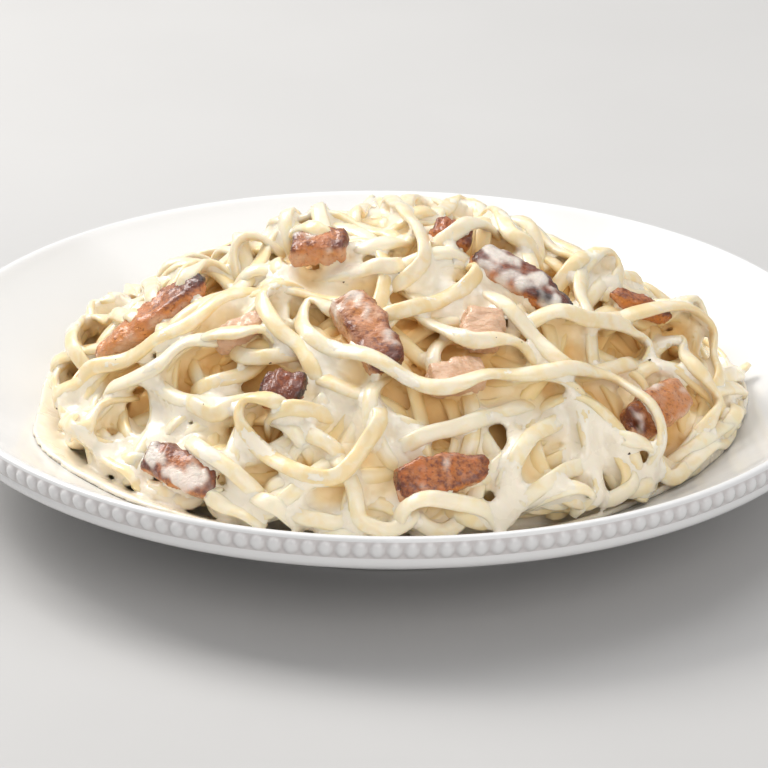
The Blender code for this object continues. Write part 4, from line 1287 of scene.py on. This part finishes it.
sauce = np.clip(sauce, -3 * VOXEL, 3 * VOXEL)
sauce_points, triangles, quads = skin_of(sauce, 3 * VOXEL, adaptivity=0.3)
sauce_points, sauce_faces = thinned(sauce_points, split_quads(triangles, quads), SAUCE_TRIANGLES)
sauce_points, sauce_faces = without_crumbs(sauce_points, sauce_faces, CRUMB_FACES)

cream = Finish("cream_sauce")
deep = cream.painted("deep")
milk = cream.speckle(120, 3)
curd = cream.speckle(700, 3)
body = cream.mix(milk, (0.88, 0.78, 0.61), (0.90, 0.83, 0.70))
# Painted shade in the gaps: deeper down, the cream is painted darker and more amber, for shade and the warm
# light bounced between noodles.
body = cream.mix(deep.step(0.0, 0.45) * 0.8, body, (0.90, 0.71, 0.39))
body = cream.mix(deep.step(0.3, 0.9), body, (0.82, 0.53, 0.20))
cream.wear(Base_Color=body, Roughness=0.2 + 0.16 * milk + 0.35 * deep,
           Coat_Weight=0.4 * (1 - deep), Coat_Roughness=0.08,
           Subsurface_Weight=0.3, Subsurface_Scale=1.3 * MM, Subsurface_Radius=(1.0, 0.75, 0.45),
           Normal=cream.bump(curd, 0.12 * MM, cream.bump(milk, 0.3 * MM)))
faces = [tuple(reversed(face)) for face in sauce_faces]
paint = {"deep": depth_of(sauce_points)}
piece = add_mesh("cream_sauce", sauce_points, faces, cream, "cream_sauce", paint)
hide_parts("cream_pool")


# The pepper: coarse black specks from the mill, stuck to the sauce.
SPECKS = 60
SPECK_SIZE = (0.4 * MM, 0.95 * MM)
# The corners of each side of a speck.
SPECK_SIDES = ((0, 1, 3, 2), (4, 6, 7, 5), (0, 4, 5, 1), (2, 3, 7, 6), (0, 2, 6, 4), (1, 5, 7, 3))
black = Finish("black_pepper")
crust = black.speckle(2500, 2)
black.wear(Base_Color=black.mix(crust, (0.03, 0.02, 0.015), (0.11, 0.07, 0.04)), Roughness=0.6)


def speck(rng, where, size):
    """A small crooked chip with eight corners."""
    angle = rng.uniform(0, 6.28)
    turn = Matrix.Rotation(angle, 3, Vector([rng.gauss(0, 1) for _ in range(3)]))
    chip = []
    for x in (-1, 1):
        for y in (-1, 1):
            for z in (-1, 1):
                corner = Vector((x, y * rng.uniform(0.5, 0.9), z * 0.5)) * size / 2 * rng.uniform(0.7, 1.1)
                chip.append(np.array(where) + np.array(turn @ corner))
    return chip


open_skin = sauce_points[depth_of(sauce_points) <= 0]
points, faces = [], []
for where in rng.sample(range(len(open_skin)), SPECKS):
    start = len(points)
    points += speck(rng, open_skin[where], rng.uniform(*SPECK_SIZE))
    faces += [tuple(start + k for k in side) for side in SPECK_SIDES]
pepper = add_mesh("pepper_specks", np.array(points), faces, black, "cream_sauce", smooth=False)
